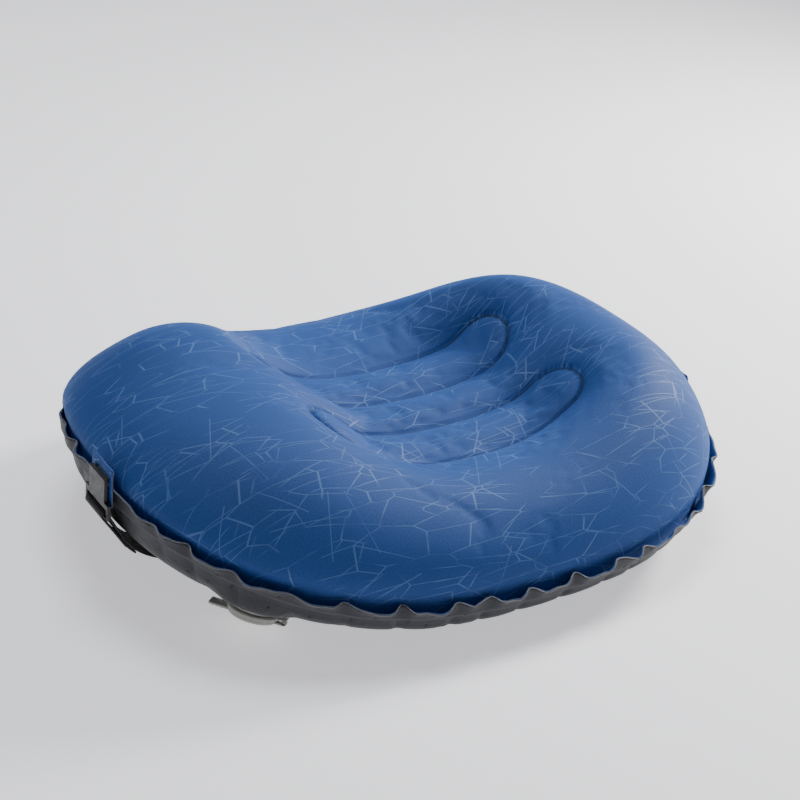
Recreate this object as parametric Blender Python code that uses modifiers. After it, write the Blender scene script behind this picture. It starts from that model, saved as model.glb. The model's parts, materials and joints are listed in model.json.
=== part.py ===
"""Inflatable camp pillow: two welded fabric panels with two tie bands inside, a rim with hook tabs,
an elastic strap with a slider, and a two-way valve on the underside.

Metres, +Z up. +X is the long axis, -Y is the neck side, and the origin is under the middle of the pillow,
on the surface that it rests on.
"""
import math

import bmesh
import bpy
from mathutils import Matrix, Vector

# Outline of the inflated body: a superellipse in plan.
HALF_LENGTH = 0.214
HALF_WIDTH = 0.164
SQUARENESS = 2.48

# Fabric and the rim weld.
FABRIC = 0.0008
GAP = 0.0003
RIM_ROOT = 0.003
RIM_HEIGHT = 0.008

# Heights and widths at four stations round the rim (right, back, left, front), and what the four
# corners (back right, back left, front left, front right) add between them.
SEAM_HEIGHT = ((0.044, 0.036, 0.064, 0.023), (0.0, 0.0, 0.0, 0.0))
CREST_RISE = ((0.066, 0.034, 0.046, 0.056), (0.014, 0.020, 0.007, 0.007))
CREST_INSET = ((0.056, 0.048, 0.088, 0.058), (0.0, 0.0, 0.0, 0.0))
SLOPE_WIDTH = ((0.085, 0.046, 0.080, 0.050), (0.0, 0.0, 0.0, 0.0))
LOBE_HEIGHT = ((0.020, -0.002, 0.020, -0.002), (-0.006, -0.006, 0.004, -0.006))
DISH_HEIGHT = 0.061
LOBE_INSET = 0.048
VALLEY_WIDTH = 0.045
VALLEY_HEIGHT = 0.027

# How finely the panels are divided.
PANEL_SECTORS = 60
TOP_ARC_RINGS = 7
TOP_SLOPE_RINGS = 6
TOP_DISH_SCALES = (0.72, 0.45, 0.2)
BOTTOM_ARC_RINGS = 7
BOTTOM_VALLEY_RINGS = 4
BOTTOM_INNER_SCALES = (0.7, 0.45, 0.2)

# Tie bands: capsule-shaped walls between the panels.
BAND_CENTRE_BACK = 0.047
BAND_CENTRE_FRONT = -0.038
BAND_CENTRE_X = 0.015
BAND_HALF_LENGTH = 0.101
BAND_RADIUS = 0.022
BAND_BEND = 0.0045
BAND_CLEARANCE = 0.0009
BAND_REACH = 0.004
BAND_STRAIGHT_STEPS = 12
BAND_END_STEPS = 8
BAND_VENT_RADIUS = 0.004
BAND_VENT_SPACING = 0.045
VENT_SEGMENTS = 12

# Tabs on the rim, one at each end of the strap.
STRAP_Y = -0.022
TAB_FACE = 0.220
TAB_HALF_WIDTH = 0.014
TAB_LOW = 0.0005
TAB_HIGH = 0.024
TAB_SLOT_LOW = 0.0105
TAB_SLOT_HIGH = 0.0185
TAB_SLOT_HALF = 0.0095
SLOT_CUT_REACH = 0.005

# Hooks. Heights are above the weld, depths are out from the tab's outer face.
HOOK_DEPTH = 0.0023
HOOK_HALF_THICK = 0.0011
HOOK_BAR_HEIGHT = -0.006
HOOK_HALF_WIDTH = 0.016
HOOK_SLOT_HALF = 0.0135
HOOK_SLOT_LOW = -0.0049
HOOK_SLOT_HIGH = -0.0010
HOOK_EYE_TOP = 0.0030
HOOK_NECK_LOW = 0.0010
HOOK_TOP = 0.018
HOOK_NECK_HALF = 0.011
TONGUE_HALF_WIDTH = 0.008
TONGUE_LOW = 0.0135
TONGUE_HIGH = 0.0165
TONGUE_REACH = -0.0035
LIP_LOW = 0.012
LIP_THICK = 0.0015
LIP_STEP = 0.0002
MOULDED_EDGE = 0.0003

# Strap webbing and its slider.
WEBBING_HALF_WIDTH = 0.0125
WEBBING_THICK = 0.0012
LOOP_RADIUS = 0.0024
END_LOOP_RADIUS = 0.0020
STRAP_OUTSIDE_LOBE = 0.0026
STRAP_BELOW_LOBE = 0.0032
STRAP_MEETS_LOBE = math.radians(30)
LAYER_PITCH = 0.0017
SEWN_ANGLE = math.radians(46)
RETURN_END = 0.150
SLIDER_X = 0.060
SLIDER_HALF_LENGTH = 0.009
SLIDER_RAIL_INNER = 0.0131
SLIDER_RAIL_OUTER = 0.0156
SLIDER_BAR_RADIUS = 0.0011
SLIDER_BAR_SINK = 0.001
SLIDER_BAR_INSET = 0.0015
END_LOOP_LENGTH = 0.0103
END_LOOP_NECK = 0.0057
END_LOOP_SPREAD = 0.0004
BARTACK_FROM_END = 0.0022
BARTACK_EDGE = 0.0002
BARTACK_LIFT = 0.0001
BARTACK_HALF_LENGTH = 0.0100
BARTACK_HALF_WIDTH = 0.0012
BARTACK_THICK = 0.0006

# Valve, on an axis that leaves the underside at right angles.
VALVE_DIRECTION = math.radians(212)
VALVE_INSET = 0.026
VALVE_STEPS = 32
VALVE_SLOPE_STEP = 0.01
NECK_RADIUS = 0.0108
NECK_BORE = 0.0085
HOLE_RADIUS = 0.0112
BASE_RADIUS = 0.0190
PLUG_RADIUS = 0.0160
PLUG_BORE = 0.0060
CAP_RADIUS = 0.0150
DIAPHRAGM_RADIUS = 0.0073
HINGE_REACH = 0.0185
PLUG_HINGE_HEIGHT = 0.0032
CAP_HINGE_HEIGHT = 0.0072
TETHER_HALF_WIDTH = 0.0045
TETHER_THICK = 0.0008
TETHER_OUTSIDE_HINGE = 0.0007
PLUG_TETHER_DROP = 0.0011
PLUG_TETHER_REACH = 0.0015
CAP_TETHER_DROP = 0.0010
TAB_REACH = 0.0265
PULL_TAB_HALF = 0.0052

# Heights in the valve, along its axis from the fabric's outer face, and small sizes in it.
COLLAR_WIDTH = 0.0024
COLLAR_TOP = 0.0038
BASE_RIM_TOP = 0.0016
BASE_SLOPE_TOP = 0.0014
BASE_EDGE_TOP = 0.0010
BASE_EDGE = 0.001
NECK_END = -0.0062
PLUG_TOP = 0.0062
PLUG_UNDERSIDE = 0.0042
PLUG_STOPPER_TOP = 0.0041
PLUG_STOPPER_END = -0.0020
PLUG_CLEARANCE = 0.0003
PLUG_TAPER = 0.0006
CROSS_HALF = 0.0009
CROSS_LOW = -0.0019
CROSS_HIGH = -0.0010
CROSS_OVERLAP = 0.0008
HUB_RADIUS = 0.0024
HUB_MARGIN = 0.00005
STEM_HOLE_RADIUS = 0.0013
STEM_CUT = (-0.004, 0.003)
LUG_OVERLAP = 0.001
PLUG_LUG = (0.0043, 0.0055)
CAP_LUG = (0.0069, 0.0081)
DIAPHRAGM_PROFILE = ((0.0, 0.0016), (0.0012, 0.0014), (0.0020, 0.0006), (0.0010, 0.0005), (0.0010, -0.0024),
                     (DIAPHRAGM_RADIUS, -0.0024), (DIAPHRAGM_RADIUS, -0.0031), (0.0, -0.0031))
CAP_TOP = 0.0098
CAP_SHOULDERS = ((0.0035, 0.0096), (0.0012, 0.0091))
CAP_EDGE_TOP = 0.0082
CAP_UNDERSIDE = 0.0066
CAP_STOPPER_END = 0.0030
CAP_CLEARANCE = 0.0004
CAP_TAPER = 0.0003
PULL_TAB_OVERLAP = 0.002
PULL_TAB_LOW = 0.0068
PULL_TAB_HIGH = 0.0086
RIB_START = 0.003
RIB_PITCH = 0.0026
RIB_WIDTH = 0.0012
RIB_LOW = 0.0080
RIB_HIGH = 0.0092
WELD_RING_GAP = 0.0002
WELD_RING_RADIUS = 0.0165
WELD_RING_LOW = -0.0056
WELD_RING_HIGH = -0.0050
HOLE_CUT = (-0.012, 0.010)

for old in list(bpy.data.objects):
    bpy.data.objects.remove(old)
parts = bpy.data.collections.new("camp_pillow")
cutters = bpy.data.collections.new("cutters")
for collection in (parts, cutters):
    bpy.context.scene.collection.children.link(collection)


def material(name, colour, roughness, metallic=0.0):
    made = bpy.data.materials.new(name)
    made.use_nodes = True
    shader = made.node_tree.nodes["Principled BSDF"]
    shader.inputs["Base Color"].default_value = (*colour, 1.0)
    shader.inputs["Roughness"].default_value = roughness
    shader.inputs["Metallic"].default_value = metallic
    return made


BLUE = material("blue_stretch_fabric", (0.045, 0.115, 0.300), 0.62)
GREY = material("grey_coated_fabric", (0.090, 0.090, 0.105), 0.58)
FILM = material("clear_band_film", (0.55, 0.56, 0.58), 0.40)
BLACK_WEB = material("black_webbing", (0.012, 0.012, 0.013), 0.80)
BLACK_PLASTIC = material("black_plastic", (0.015, 0.015, 0.016), 0.38)
THREAD = material("black_thread", (0.020, 0.020, 0.022), 0.70)
VALVE_GREY = material("warm_grey_plastic", (0.45, 0.45, 0.42), 0.45)
SILICONE = material("silicone", (0.62, 0.62, 0.60), 0.35)


# ---- the shape of the inflated body -------------------------------------------------------------

def smooth(t):
    t = min(max(t, 0.0), 1.0)
    return t * t * (3.0 - 2.0 * t)


def rim_radius(angle):
    along = (abs(math.cos(angle)) / HALF_LENGTH) ** SQUARENESS
    across = (abs(math.sin(angle)) / HALF_WIDTH) ** SQUARENESS
    return (along + across) ** (-1.0 / SQUARENESS)


def station(values, angle):
    """A size that changes round the rim, blended between its four stations and four corners."""
    (right, back, left, front), (back_right, back_left, front_left, front_right) = values
    c, s = math.cos(angle), math.sin(angle)
    along = (rim_radius(angle) * abs(c) / HALF_LENGTH) ** SQUARENESS
    across = 1.0 - along
    if s > 0:
        corner = back_right if c > 0 else back_left
    else:
        corner = front_right if c > 0 else front_left
    ends = right if c > 0 else left
    sides = back if s > 0 else front
    return along * ends + across * sides + 4.0 * along * across * corner


def top_height(angle, inset):
    """Height of the top panel's outer face at a distance in from the weld."""
    seam = station(SEAM_HEIGHT, angle)
    rise = station(CREST_RISE, angle)
    crest = station(CREST_INSET, angle)
    if inset < crest:
        return seam + rise * math.sqrt(1.0 - ((crest - inset) / crest) ** 2)
    drop = smooth((inset - crest) / station(SLOPE_WIDTH, angle))
    return (seam + rise) * (1.0 - drop) + DISH_HEIGHT * drop


def bottom_height(angle, inset):
    """Height of the bottom panel's outer face at a distance in from the weld."""
    seam = station(SEAM_HEIGHT, angle) - 2 * FABRIC - GAP
    lobe = station(LOBE_HEIGHT, angle)
    if inset < LOBE_INSET:
        share = (LOBE_INSET - inset) / LOBE_INSET
        return max(seam - (seam - lobe) * math.sqrt(1.0 - share ** 2), 0.0)
    lift = smooth((inset - LOBE_INSET) / VALLEY_WIDTH)
    return max(lobe * (1.0 - lift) + VALLEY_HEIGHT * lift, 0.0)


def height_at(surface, x, y):
    angle = math.atan2(y, x)
    return surface(angle, rim_radius(angle) - math.hypot(x, y))


# ---- modelling helpers --------------------------------------------------------------------------

def add_object(name, mesh, look, parent=None, collection=parts):
    made = bpy.data.objects.new(name, mesh)
    collection.objects.link(made)
    if look:
        mesh.materials.append(look)
    made.parent = parent
    return made


def mesh_from(bm, name, shade=True):
    bmesh.ops.recalc_face_normals(bm, faces=bm.faces)
    mesh = bpy.data.meshes.new(name)
    bm.to_mesh(mesh)
    bm.free()
    if shade:
        mesh.shade_smooth()
        mesh.set_sharp_from_angle(angle=math.radians(35))
    return mesh


def hide_cutter(obj):
    obj.hide_render = True
    obj.display_type = "WIRE"
    return obj


def box_mesh(name, low, high):
    bm = bmesh.new()
    bmesh.ops.create_cube(bm, size=1.0)
    low, high = Vector(low), Vector(high)
    bmesh.ops.scale(bm, vec=high - low, verts=bm.verts)
    bmesh.ops.translate(bm, vec=(low + high) / 2, verts=bm.verts)
    return mesh_from(bm, name, shade=False)


def add_box(name, low, high, look, parent=None):
    return add_object(name, box_mesh(name, low, high), look, parent)


def box_cutter(name, low, high, parent=None):
    return hide_cutter(add_object(name, box_mesh(name, low, high), None, parent, cutters))


def cylinder_mesh(name, radius, low, high, axis="Z", segments=24):
    bm = bmesh.new()
    bmesh.ops.create_cone(bm, cap_ends=True, segments=segments, radius1=radius, radius2=radius,
                          depth=high - low)
    bmesh.ops.translate(bm, vec=(0, 0, (low + high) / 2), verts=bm.verts)
    if axis == "Y":
        bmesh.ops.rotate(bm, matrix=Matrix.Rotation(math.radians(-90), 3, "X"), verts=bm.verts)
    return mesh_from(bm, name)


def boolean(obj, other, operation):
    cut = obj.modifiers.new(operation.lower(), "BOOLEAN")
    cut.operation = operation
    cut.object = other
    cut.solver = "EXACT"


def bevel(obj, width, segments=1):
    edge = obj.modifiers.new("rounded edges", "BEVEL")
    edge.width = width
    edge.segments = segments
    edge.limit_method = "ANGLE"
    edge.angle_limit = math.radians(40)


def solidify(obj, thickness, offset=-1.0):
    shell = obj.modifiers.new("thickness", "SOLIDIFY")
    shell.thickness = thickness
    shell.offset = offset
    shell.use_even_offset = True


def turned(name, profile, look, parent, closed=True):
    """A profile of (radius, height) points, outer side running down, turned about its parent's Z axis."""
    bm = bmesh.new()
    verts = [bm.verts.new((radius, 0.0, height)) for radius, height in profile]
    for first, second in zip(verts, verts[1:] + verts[:1] if closed else verts[1:]):
        bm.edges.new((first, second))
    mesh = bpy.data.meshes.new(name)
    bm.to_mesh(mesh)
    bm.free()
    made = add_object(name, mesh, look, parent)
    spin = made.modifiers.new("turn", "SCREW")
    spin.steps = spin.render_steps = VALVE_STEPS
    spin.use_merge_vertices = True
    spin.merge_threshold = 0.00001
    return made


def ring_profile(inner, outer, low, high):
    return [(outer, high), (outer, low), (inner, low), (inner, high)]


def ribbon(name, path, half_width, thickness, look, parent=None, middle=0.0):
    """A strip that follows (x, z) points, as wide as stated along Y, with its thickness on both sides."""
    bm = bmesh.new()
    verts = [bm.verts.new((x, middle - half_width, z)) for x, z in path]
    edges = [bm.edges.new(pair) for pair in zip(verts, verts[1:])]
    grown = bmesh.ops.extrude_edge_only(bm, edges=edges)["geom"]
    new_verts = [g for g in grown if isinstance(g, bmesh.types.BMVert)]
    bmesh.ops.translate(bm, vec=(0, 2 * half_width, 0), verts=new_verts)
    made = add_object(name, mesh_from(bm, name), look, parent)
    solidify(made, thickness, offset=0.0)
    return made


def panel(name, rings, centre, look):
    """A sheet from closed rings of points, from its outer edge in to a centre point."""
    bm = bmesh.new()
    loops = [[bm.verts.new(point) for point in ring] for ring in rings]
    for outer, inner in zip(loops, loops[1:]):
        for i in range(len(outer)):
            j = (i + 1) % len(outer)
            bm.faces.new((outer[i], outer[j], inner[j], inner[i]))
    middle = bm.verts.new(centre)
    last = loops[-1]
    for i in range(len(last)):
        bm.faces.new((last[i], last[(i + 1) % len(last)], middle))
    mesh = bpy.data.meshes.new(name)
    bm.to_mesh(mesh)
    bm.free()
    mesh.shade_smooth()
    mesh.set_sharp_from_angle(angle=math.radians(50))
    return add_object(name, mesh, look)


# ---- the two panels -----------------------------------------------------------------------------

SECTOR_ANGLES = [2 * math.pi * (i + 0.5) / PANEL_SECTORS for i in range(PANEL_SECTORS)]


def ring_at(offset, height):
    """A ring whose distance out from the weld and height are functions of the angle."""
    points = []
    for angle in SECTOR_ANGLES:
        radius = rim_radius(angle) + offset(angle)
        points.append((radius * math.cos(angle), radius * math.sin(angle), height(angle)))
    return points


def seam_height(angle):
    return station(SEAM_HEIGHT, angle)


def inset_ring(surface, inset):
    return ring_at(lambda a: -inset(a), lambda a: surface(a, inset(a)))


def top_panel():
    rings = [
        ring_at(lambda a: RIM_ROOT, lambda a: seam_height(a) + RIM_HEIGHT),
        ring_at(lambda a: RIM_ROOT, seam_height),
        ring_at(lambda a: 0.0, seam_height),
    ]
    for k in range(1, TOP_ARC_RINGS + 1):
        share = 1.0 - math.cos(0.5 * math.pi * k / TOP_ARC_RINGS)
        rings.append(inset_ring(top_height, lambda a, share=share: share * station(CREST_INSET, a)))
    for k in range(1, TOP_SLOPE_RINGS + 1):
        share = k / TOP_SLOPE_RINGS
        rings.append(inset_ring(
            top_height,
            lambda a, share=share: station(CREST_INSET, a) + share * station(SLOPE_WIDTH, a)))

    def dish_inset(angle, scale):
        floor = rim_radius(angle) - station(CREST_INSET, angle) - station(SLOPE_WIDTH, angle)
        return rim_radius(angle) - scale * floor

    for scale in TOP_DISH_SCALES:
        rings.append(inset_ring(top_height, lambda a, scale=scale: dish_inset(a, scale)))
    made = panel("top_panel", rings, (0, 0, DISH_HEIGHT), BLUE)
    solidify(made, FABRIC)
    return made


def bottom_panel(hole):
    drop = 2 * FABRIC + GAP
    rings = [
        ring_at(lambda a: RIM_ROOT + drop, lambda a: seam_height(a) + RIM_HEIGHT),
        ring_at(lambda a: RIM_ROOT + drop, lambda a: seam_height(a) - drop),
        ring_at(lambda a: 0.0, lambda a: seam_height(a) - drop),
    ]
    for k in range(1, BOTTOM_ARC_RINGS + 1):
        inset = LOBE_INSET * (1.0 - math.cos(0.5 * math.pi * k / BOTTOM_ARC_RINGS))
        rings.append(inset_ring(bottom_height, lambda a, inset=inset: inset))
    for k in range(1, BOTTOM_VALLEY_RINGS + 1):
        inset = LOBE_INSET + VALLEY_WIDTH * k / BOTTOM_VALLEY_RINGS
        rings.append(inset_ring(bottom_height, lambda a, inset=inset: inset))
    for scale in BOTTOM_INNER_SCALES:
        rings.append(inset_ring(
            bottom_height,
            lambda a, scale=scale: rim_radius(a) - scale * (rim_radius(a) - LOBE_INSET - VALLEY_WIDTH)))
    made = panel("bottom_panel", rings, (0, 0, VALLEY_HEIGHT), GREY)
    made.data.flip_normals()
    solidify(made, FABRIC)
    boolean(made, hole, "DIFFERENCE")
    return made


# ---- tie bands ----------------------------------------------------------------------------------

def band_bend(along):
    """How far back a band's middle line lies there: forward at its middle, back at its ends."""
    return BAND_BEND * (2.0 * (along / BAND_HALF_LENGTH) ** 2 - 1.0)


def band_outline(middle):
    """A capsule in plan, bent to follow band_bend."""
    straight = BAND_HALF_LENGTH - BAND_RADIUS
    points = []
    for side, start in ((1, -math.pi / 2), (-1, math.pi / 2)):
        for k in range(BAND_END_STEPS):
            angle = start + math.pi * k / BAND_END_STEPS
            points.append((side * straight + BAND_RADIUS * math.cos(angle), BAND_RADIUS * math.sin(angle)))
        for k in range(BAND_STRAIGHT_STEPS):
            points.append((side * straight * (1.0 - 2.0 * k / BAND_STRAIGHT_STEPS), side * BAND_RADIUS))
    return [(BAND_CENTRE_X + x, middle + y + band_bend(x)) for x, y in points]


def heights_near(surface, x, y):
    """A panel's heights in a small ring round a point, so that a band clears it on a slope."""
    turns = [math.pi * k / 4 for k in range(8)]
    return [height_at(surface, x + BAND_REACH * math.cos(a), y + BAND_REACH * math.sin(a)) for a in turns]


def tie_band(name, middle):
    """A capsule-shaped wall that follows both panels' inner faces, with vent holes through its sides."""
    outline = band_outline(middle)
    bm = bmesh.new()
    margin = FABRIC + BAND_CLEARANCE
    lower = [bm.verts.new((x, y, max(heights_near(bottom_height, x, y)) + margin)) for x, y in outline]
    upper = [bm.verts.new((x, y, min(heights_near(top_height, x, y)) - margin)) for x, y in outline]
    for i in range(len(outline)):
        j = (i + 1) % len(outline)
        bm.faces.new((lower[i], lower[j], upper[j], upper[i]))
    made = add_object(name, mesh_from(bm, name), FILM)
    solidify(made, FABRIC)
    vent_height = (DISH_HEIGHT + VALLEY_HEIGHT) / 2
    reach = 2 * BAND_RADIUS
    for k in (-1, 0, 1):
        mesh = cylinder_mesh(name + "_vent", BAND_VENT_RADIUS, -reach, reach, "Y", VENT_SEGMENTS)
        vent = hide_cutter(add_object(name + "_vent_" + str(k + 1), mesh, None, None, cutters))
        x = k * BAND_VENT_SPACING
        vent.location = (BAND_CENTRE_X + x, middle + band_bend(x), vent_height)
        boolean(made, vent, "DIFFERENCE")
    return made


# ---- tabs and hooks -----------------------------------------------------------------------------

STRAP_ANGLE = math.atan2(STRAP_Y, HALF_LENGTH)


def tab_seam(side):
    """Height of the weld behind the tab at the right (side 1) or left (side -1) end."""
    return station(SEAM_HEIGHT, math.atan2(STRAP_Y, side * HALF_LENGTH))


def end_frame(name, side):
    """An empty at the middle of a tab's outer face, level with the weld, with its +X pointing out."""
    frame = bpy.data.objects.new(name, None)
    parts.objects.link(frame)
    frame.location = (side * TAB_FACE, STRAP_Y, tab_seam(side))
    frame.rotation_euler = (0, 0, 0 if side > 0 else math.pi)
    return frame


def tab(name, frame):
    made = add_box(name, (-FABRIC, -TAB_HALF_WIDTH, TAB_LOW), (0, TAB_HALF_WIDTH, TAB_HIGH), BLUE, frame)
    boolean(made, box_cutter(name + "_slot", (-SLOT_CUT_REACH, -TAB_SLOT_HALF, TAB_SLOT_LOW),
                             (SLOT_CUT_REACH, TAB_SLOT_HALF, TAB_SLOT_HIGH), frame), "DIFFERENCE")
    return made


def hook(name, frame):
    """A flat hook, turning about the bar that its webbing is folded round."""
    pivot = bpy.data.objects.new(name + "_pivot", None)
    parts.objects.link(pivot)
    pivot.parent = frame
    pivot.location = (HOOK_DEPTH, 0, HOOK_BAR_HEIGHT)
    up = -HOOK_BAR_HEIGHT
    near, far = -HOOK_HALF_THICK, HOOK_HALF_THICK
    made = add_box(name, (near, -HOOK_HALF_WIDTH, -HOOK_HALF_THICK),
                   (far, HOOK_HALF_WIDTH, HOOK_EYE_TOP + up), BLACK_PLASTIC, pivot)
    pieces = (
        ("plate", (near, -HOOK_NECK_HALF, HOOK_NECK_LOW + up), (far, HOOK_NECK_HALF, HOOK_TOP + up)),
        ("tongue", (TONGUE_REACH - HOOK_DEPTH, -TONGUE_HALF_WIDTH, TONGUE_LOW + up),
         (0, TONGUE_HALF_WIDTH, TONGUE_HIGH + up)),
        ("lip", (TONGUE_REACH - HOOK_DEPTH, -TONGUE_HALF_WIDTH, LIP_LOW + up),
         (TONGUE_REACH - HOOK_DEPTH + LIP_THICK, TONGUE_HALF_WIDTH, TONGUE_HIGH + up - LIP_STEP)),
    )
    for kind, low, high in pieces:
        boolean(made, box_cutter(name + "_" + kind, low, high, pivot), "UNION")
    boolean(made, box_cutter(name + "_slot", (-SLOT_CUT_REACH, -HOOK_SLOT_HALF, HOOK_SLOT_LOW + up),
                             (SLOT_CUT_REACH, HOOK_SLOT_HALF, HOOK_SLOT_HIGH + up), pivot), "DIFFERENCE")
    bevel(made, MOULDED_EDGE)
    return made


# ---- strap --------------------------------------------------------------------------------------

LOBE_CENTRE = rim_radius(STRAP_ANGLE) - LOBE_INSET
BAR_X = TAB_FACE + HOOK_DEPTH
LEFT_BAR_Z = tab_seam(-1) + HOOK_BAR_HEIGHT
RIGHT_BAR_Z = tab_seam(1) + HOOK_BAR_HEIGHT
RUN_Z = station(LOBE_HEIGHT, STRAP_ANGLE) - STRAP_BELOW_LOBE


def lobe_point(seam, turn, below):
    """A point outside the underside of an end lobe, and the way out of the lobe there."""
    lobe = RUN_Z + STRAP_BELOW_LOBE
    drop = seam - 2 * FABRIC - GAP - lobe
    way = Vector((drop * math.cos(turn), -LOBE_INSET * math.sin(turn))).normalized()
    clear = STRAP_OUTSIDE_LOBE + (STRAP_BELOW_LOBE - STRAP_OUTSIDE_LOBE) * math.sin(turn) + below
    return (LOBE_CENTRE + LOBE_INSET * math.cos(turn) + way.x * clear,
            lobe + drop * (1.0 - math.sin(turn)) + way.y * clear)


def lobe_curve(side, below=0.0, last=math.pi / 2, steps=9):
    """Points from where the strap meets an end lobe, round the lobe's underside."""
    turns = [STRAP_MEETS_LOBE + (last - STRAP_MEETS_LOBE) * k / steps for k in range(steps + 1)]
    return [lobe_point(tab_seam(side), turn, below) for turn in turns]


def loop_round(x, z, radius, first, last, steps):
    return [(x + radius * math.cos(first + (last - first) * k / steps),
             z + radius * math.sin(first + (last - first) * k / steps)) for k in range(1, steps)]


def round_bar(bar_z, first, last):
    """Points round a hook's bar. The first and last angles are where the webbing leaves it."""
    return loop_round(BAR_X, bar_z, LOOP_RADIUS, math.radians(first), math.radians(last), 8)


def strap_main():
    """The webbing from its sewn left end, round both hooks' bars, to where it leaves the right lobe."""
    left_fold = lobe_curve(-1, LAYER_PITCH, SEWN_ANGLE, 3)[::-1]
    left = left_fold + round_bar(LEFT_BAR_Z, -60, 220) + lobe_curve(-1)
    right = lobe_curve(1)[::-1] + round_bar(RIGHT_BAR_Z, 220, -60) + lobe_curve(1, LAYER_PITCH)
    path = [(-x, z) for x, z in left] + right + [(RETURN_END, RUN_Z - LAYER_PITCH)]
    return ribbon("strap_main", path, WEBBING_HALF_WIDTH, WEBBING_THICK, BLACK_WEB, middle=STRAP_Y)


SLIDER_BAR_Z = RUN_Z - WEBBING_THICK / 2 - GAP - WEBBING_THICK - GAP - SLIDER_BAR_RADIUS


def strap_slack(frame):
    start = (END_LOOP_LENGTH + 2 * GAP, WEBBING_THICK / 2 + GAP)
    end = (RETURN_END - SLIDER_X - 2 * GAP, RUN_Z - LAYER_PITCH - SLIDER_BAR_Z)
    return ribbon("strap_slack", [start, end], WEBBING_HALF_WIDTH, WEBBING_THICK, BLACK_WEB, frame)


def strap_end_loop(frame):
    half = WEBBING_THICK / 2 + GAP
    path = [(END_LOOP_LENGTH, half), (END_LOOP_NECK, half + END_LOOP_SPREAD)]
    path += loop_round(0.0, 0.0, END_LOOP_RADIUS, math.radians(65), math.radians(295), 10)
    path += [(END_LOOP_NECK, -half - END_LOOP_SPREAD), (END_LOOP_LENGTH, -half)]
    return ribbon("strap_end_loop", path, WEBBING_HALF_WIDTH, WEBBING_THICK, BLACK_WEB, frame)


def strap_slider(frame):
    """A three-bar slider: its outer bars lie over the webbing and its middle bar lies under it."""
    over = RUN_Z + WEBBING_THICK / 2 + GAP + SLIDER_BAR_RADIUS - SLIDER_BAR_Z
    low, high = -SLIDER_BAR_RADIUS, over + SLIDER_BAR_RADIUS
    reach = SLIDER_HALF_LENGTH
    made = add_box("strap_slider", (-reach, SLIDER_RAIL_INNER, low), (reach, SLIDER_RAIL_OUTER, high),
                   BLACK_PLASTIC, frame)
    other = box_cutter("slider_rail", (-reach, -SLIDER_RAIL_OUTER, low), (reach, -SLIDER_RAIL_INNER, high),
                       frame)
    boolean(made, other, "UNION")
    half = SLIDER_RAIL_OUTER - SLIDER_BAR_SINK
    outer = reach - SLIDER_BAR_INSET
    for kind, x, z in (("near_bar", -outer, over), ("far_bar", outer, over), ("middle_bar", 0.0, 0.0)):
        mesh = cylinder_mesh("slider_" + kind, SLIDER_BAR_RADIUS, -half, half, axis="Y", segments=12)
        bar = hide_cutter(add_object("slider_" + kind, mesh, None, frame, cutters))
        bar.location = (x, 0, z)
        boolean(made, bar, "UNION")
    return made


def bartack(name, x, z, tilt, parent, middle=0.0):
    made = add_box(name, (-BARTACK_HALF_WIDTH, -BARTACK_HALF_LENGTH, -BARTACK_THICK),
                   (BARTACK_HALF_WIDTH, BARTACK_HALF_LENGTH, 0.0), THREAD, parent)
    made.location = (x, middle, z)
    made.rotation_euler = (0, tilt, 0)
    bevel(made, BARTACK_EDGE)
    return made


def bartack_left():
    """Lies on the folded end of the webbing, on its outer side."""
    turn = (STRAP_MEETS_LOBE + SEWN_ANGLE) / 2
    inner, outer = lobe_point(tab_seam(-1), turn, 0.0), lobe_point(tab_seam(-1), turn, LAYER_PITCH)
    normal = (Vector(outer) - Vector(inner)).normalized()
    point = Vector(outer) + normal * (WEBBING_THICK / 2 + GAP)
    tilt = math.atan2(-normal.x, -normal.y)
    return bartack("bartack_left", -point.x, point.y, -tilt, None, STRAP_Y)


# ---- valve --------------------------------------------------------------------------------------

def valve_frame():
    """An empty on the underside, its Z along the fabric's outward normal and its X along the rim."""
    def point(angle, inset):
        radius = rim_radius(angle) - inset
        return Vector((radius * math.cos(angle), radius * math.sin(angle), bottom_height(angle, inset)))

    step = VALVE_SLOPE_STEP
    here = point(VALVE_DIRECTION, VALVE_INSET)
    round_rim = point(VALVE_DIRECTION + step, VALVE_INSET) - point(VALVE_DIRECTION - step, VALVE_INSET)
    inwards = point(VALVE_DIRECTION, VALVE_INSET + step / 4) - point(VALVE_DIRECTION, VALVE_INSET - step / 4)
    normal = round_rim.cross(inwards).normalized()
    if normal.z > 0:
        normal.negate()
    tab_way = (-round_rim + normal * round_rim.dot(normal)).normalized()
    frame = bpy.data.objects.new("valve_frame", None)
    parts.objects.link(frame)
    turn = Matrix((tab_way, normal.cross(tab_way), normal)).transposed()
    frame.matrix_world = Matrix.Translation(here) @ turn.to_4x4()
    return frame


def pivot_at(name, frame, height):
    pivot = bpy.data.objects.new(name, None)
    parts.objects.link(pivot)
    pivot.parent = frame
    pivot.location = (-HINGE_REACH, 0, height)
    return pivot


def tether(name, frame, path):
    return ribbon(name, path, TETHER_HALF_WIDTH, TETHER_THICK, VALVE_GREY, frame)


def valve_body(frame):
    collar = NECK_RADIUS + COLLAR_WIDTH
    profile = [(collar, COLLAR_TOP), (collar, BASE_RIM_TOP), (BASE_RADIUS - BASE_EDGE, BASE_SLOPE_TOP),
               (BASE_RADIUS, BASE_EDGE_TOP), (BASE_RADIUS, GAP), (NECK_RADIUS, GAP), (NECK_RADIUS, NECK_END),
               (NECK_BORE, NECK_END), (NECK_BORE, COLLAR_TOP)]
    return turned("valve_body", profile, VALVE_GREY, frame)


def hinge_lug(name, radius, heights, frame):
    """A block from the hinge line to a ring of that radius, which a tether holds."""
    low, high = heights
    return box_cutter(name, (-HINGE_REACH + GAP, -TETHER_HALF_WIDTH, low),
                      (-radius + LUG_OVERLAP, TETHER_HALF_WIDTH, high), frame)


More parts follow.
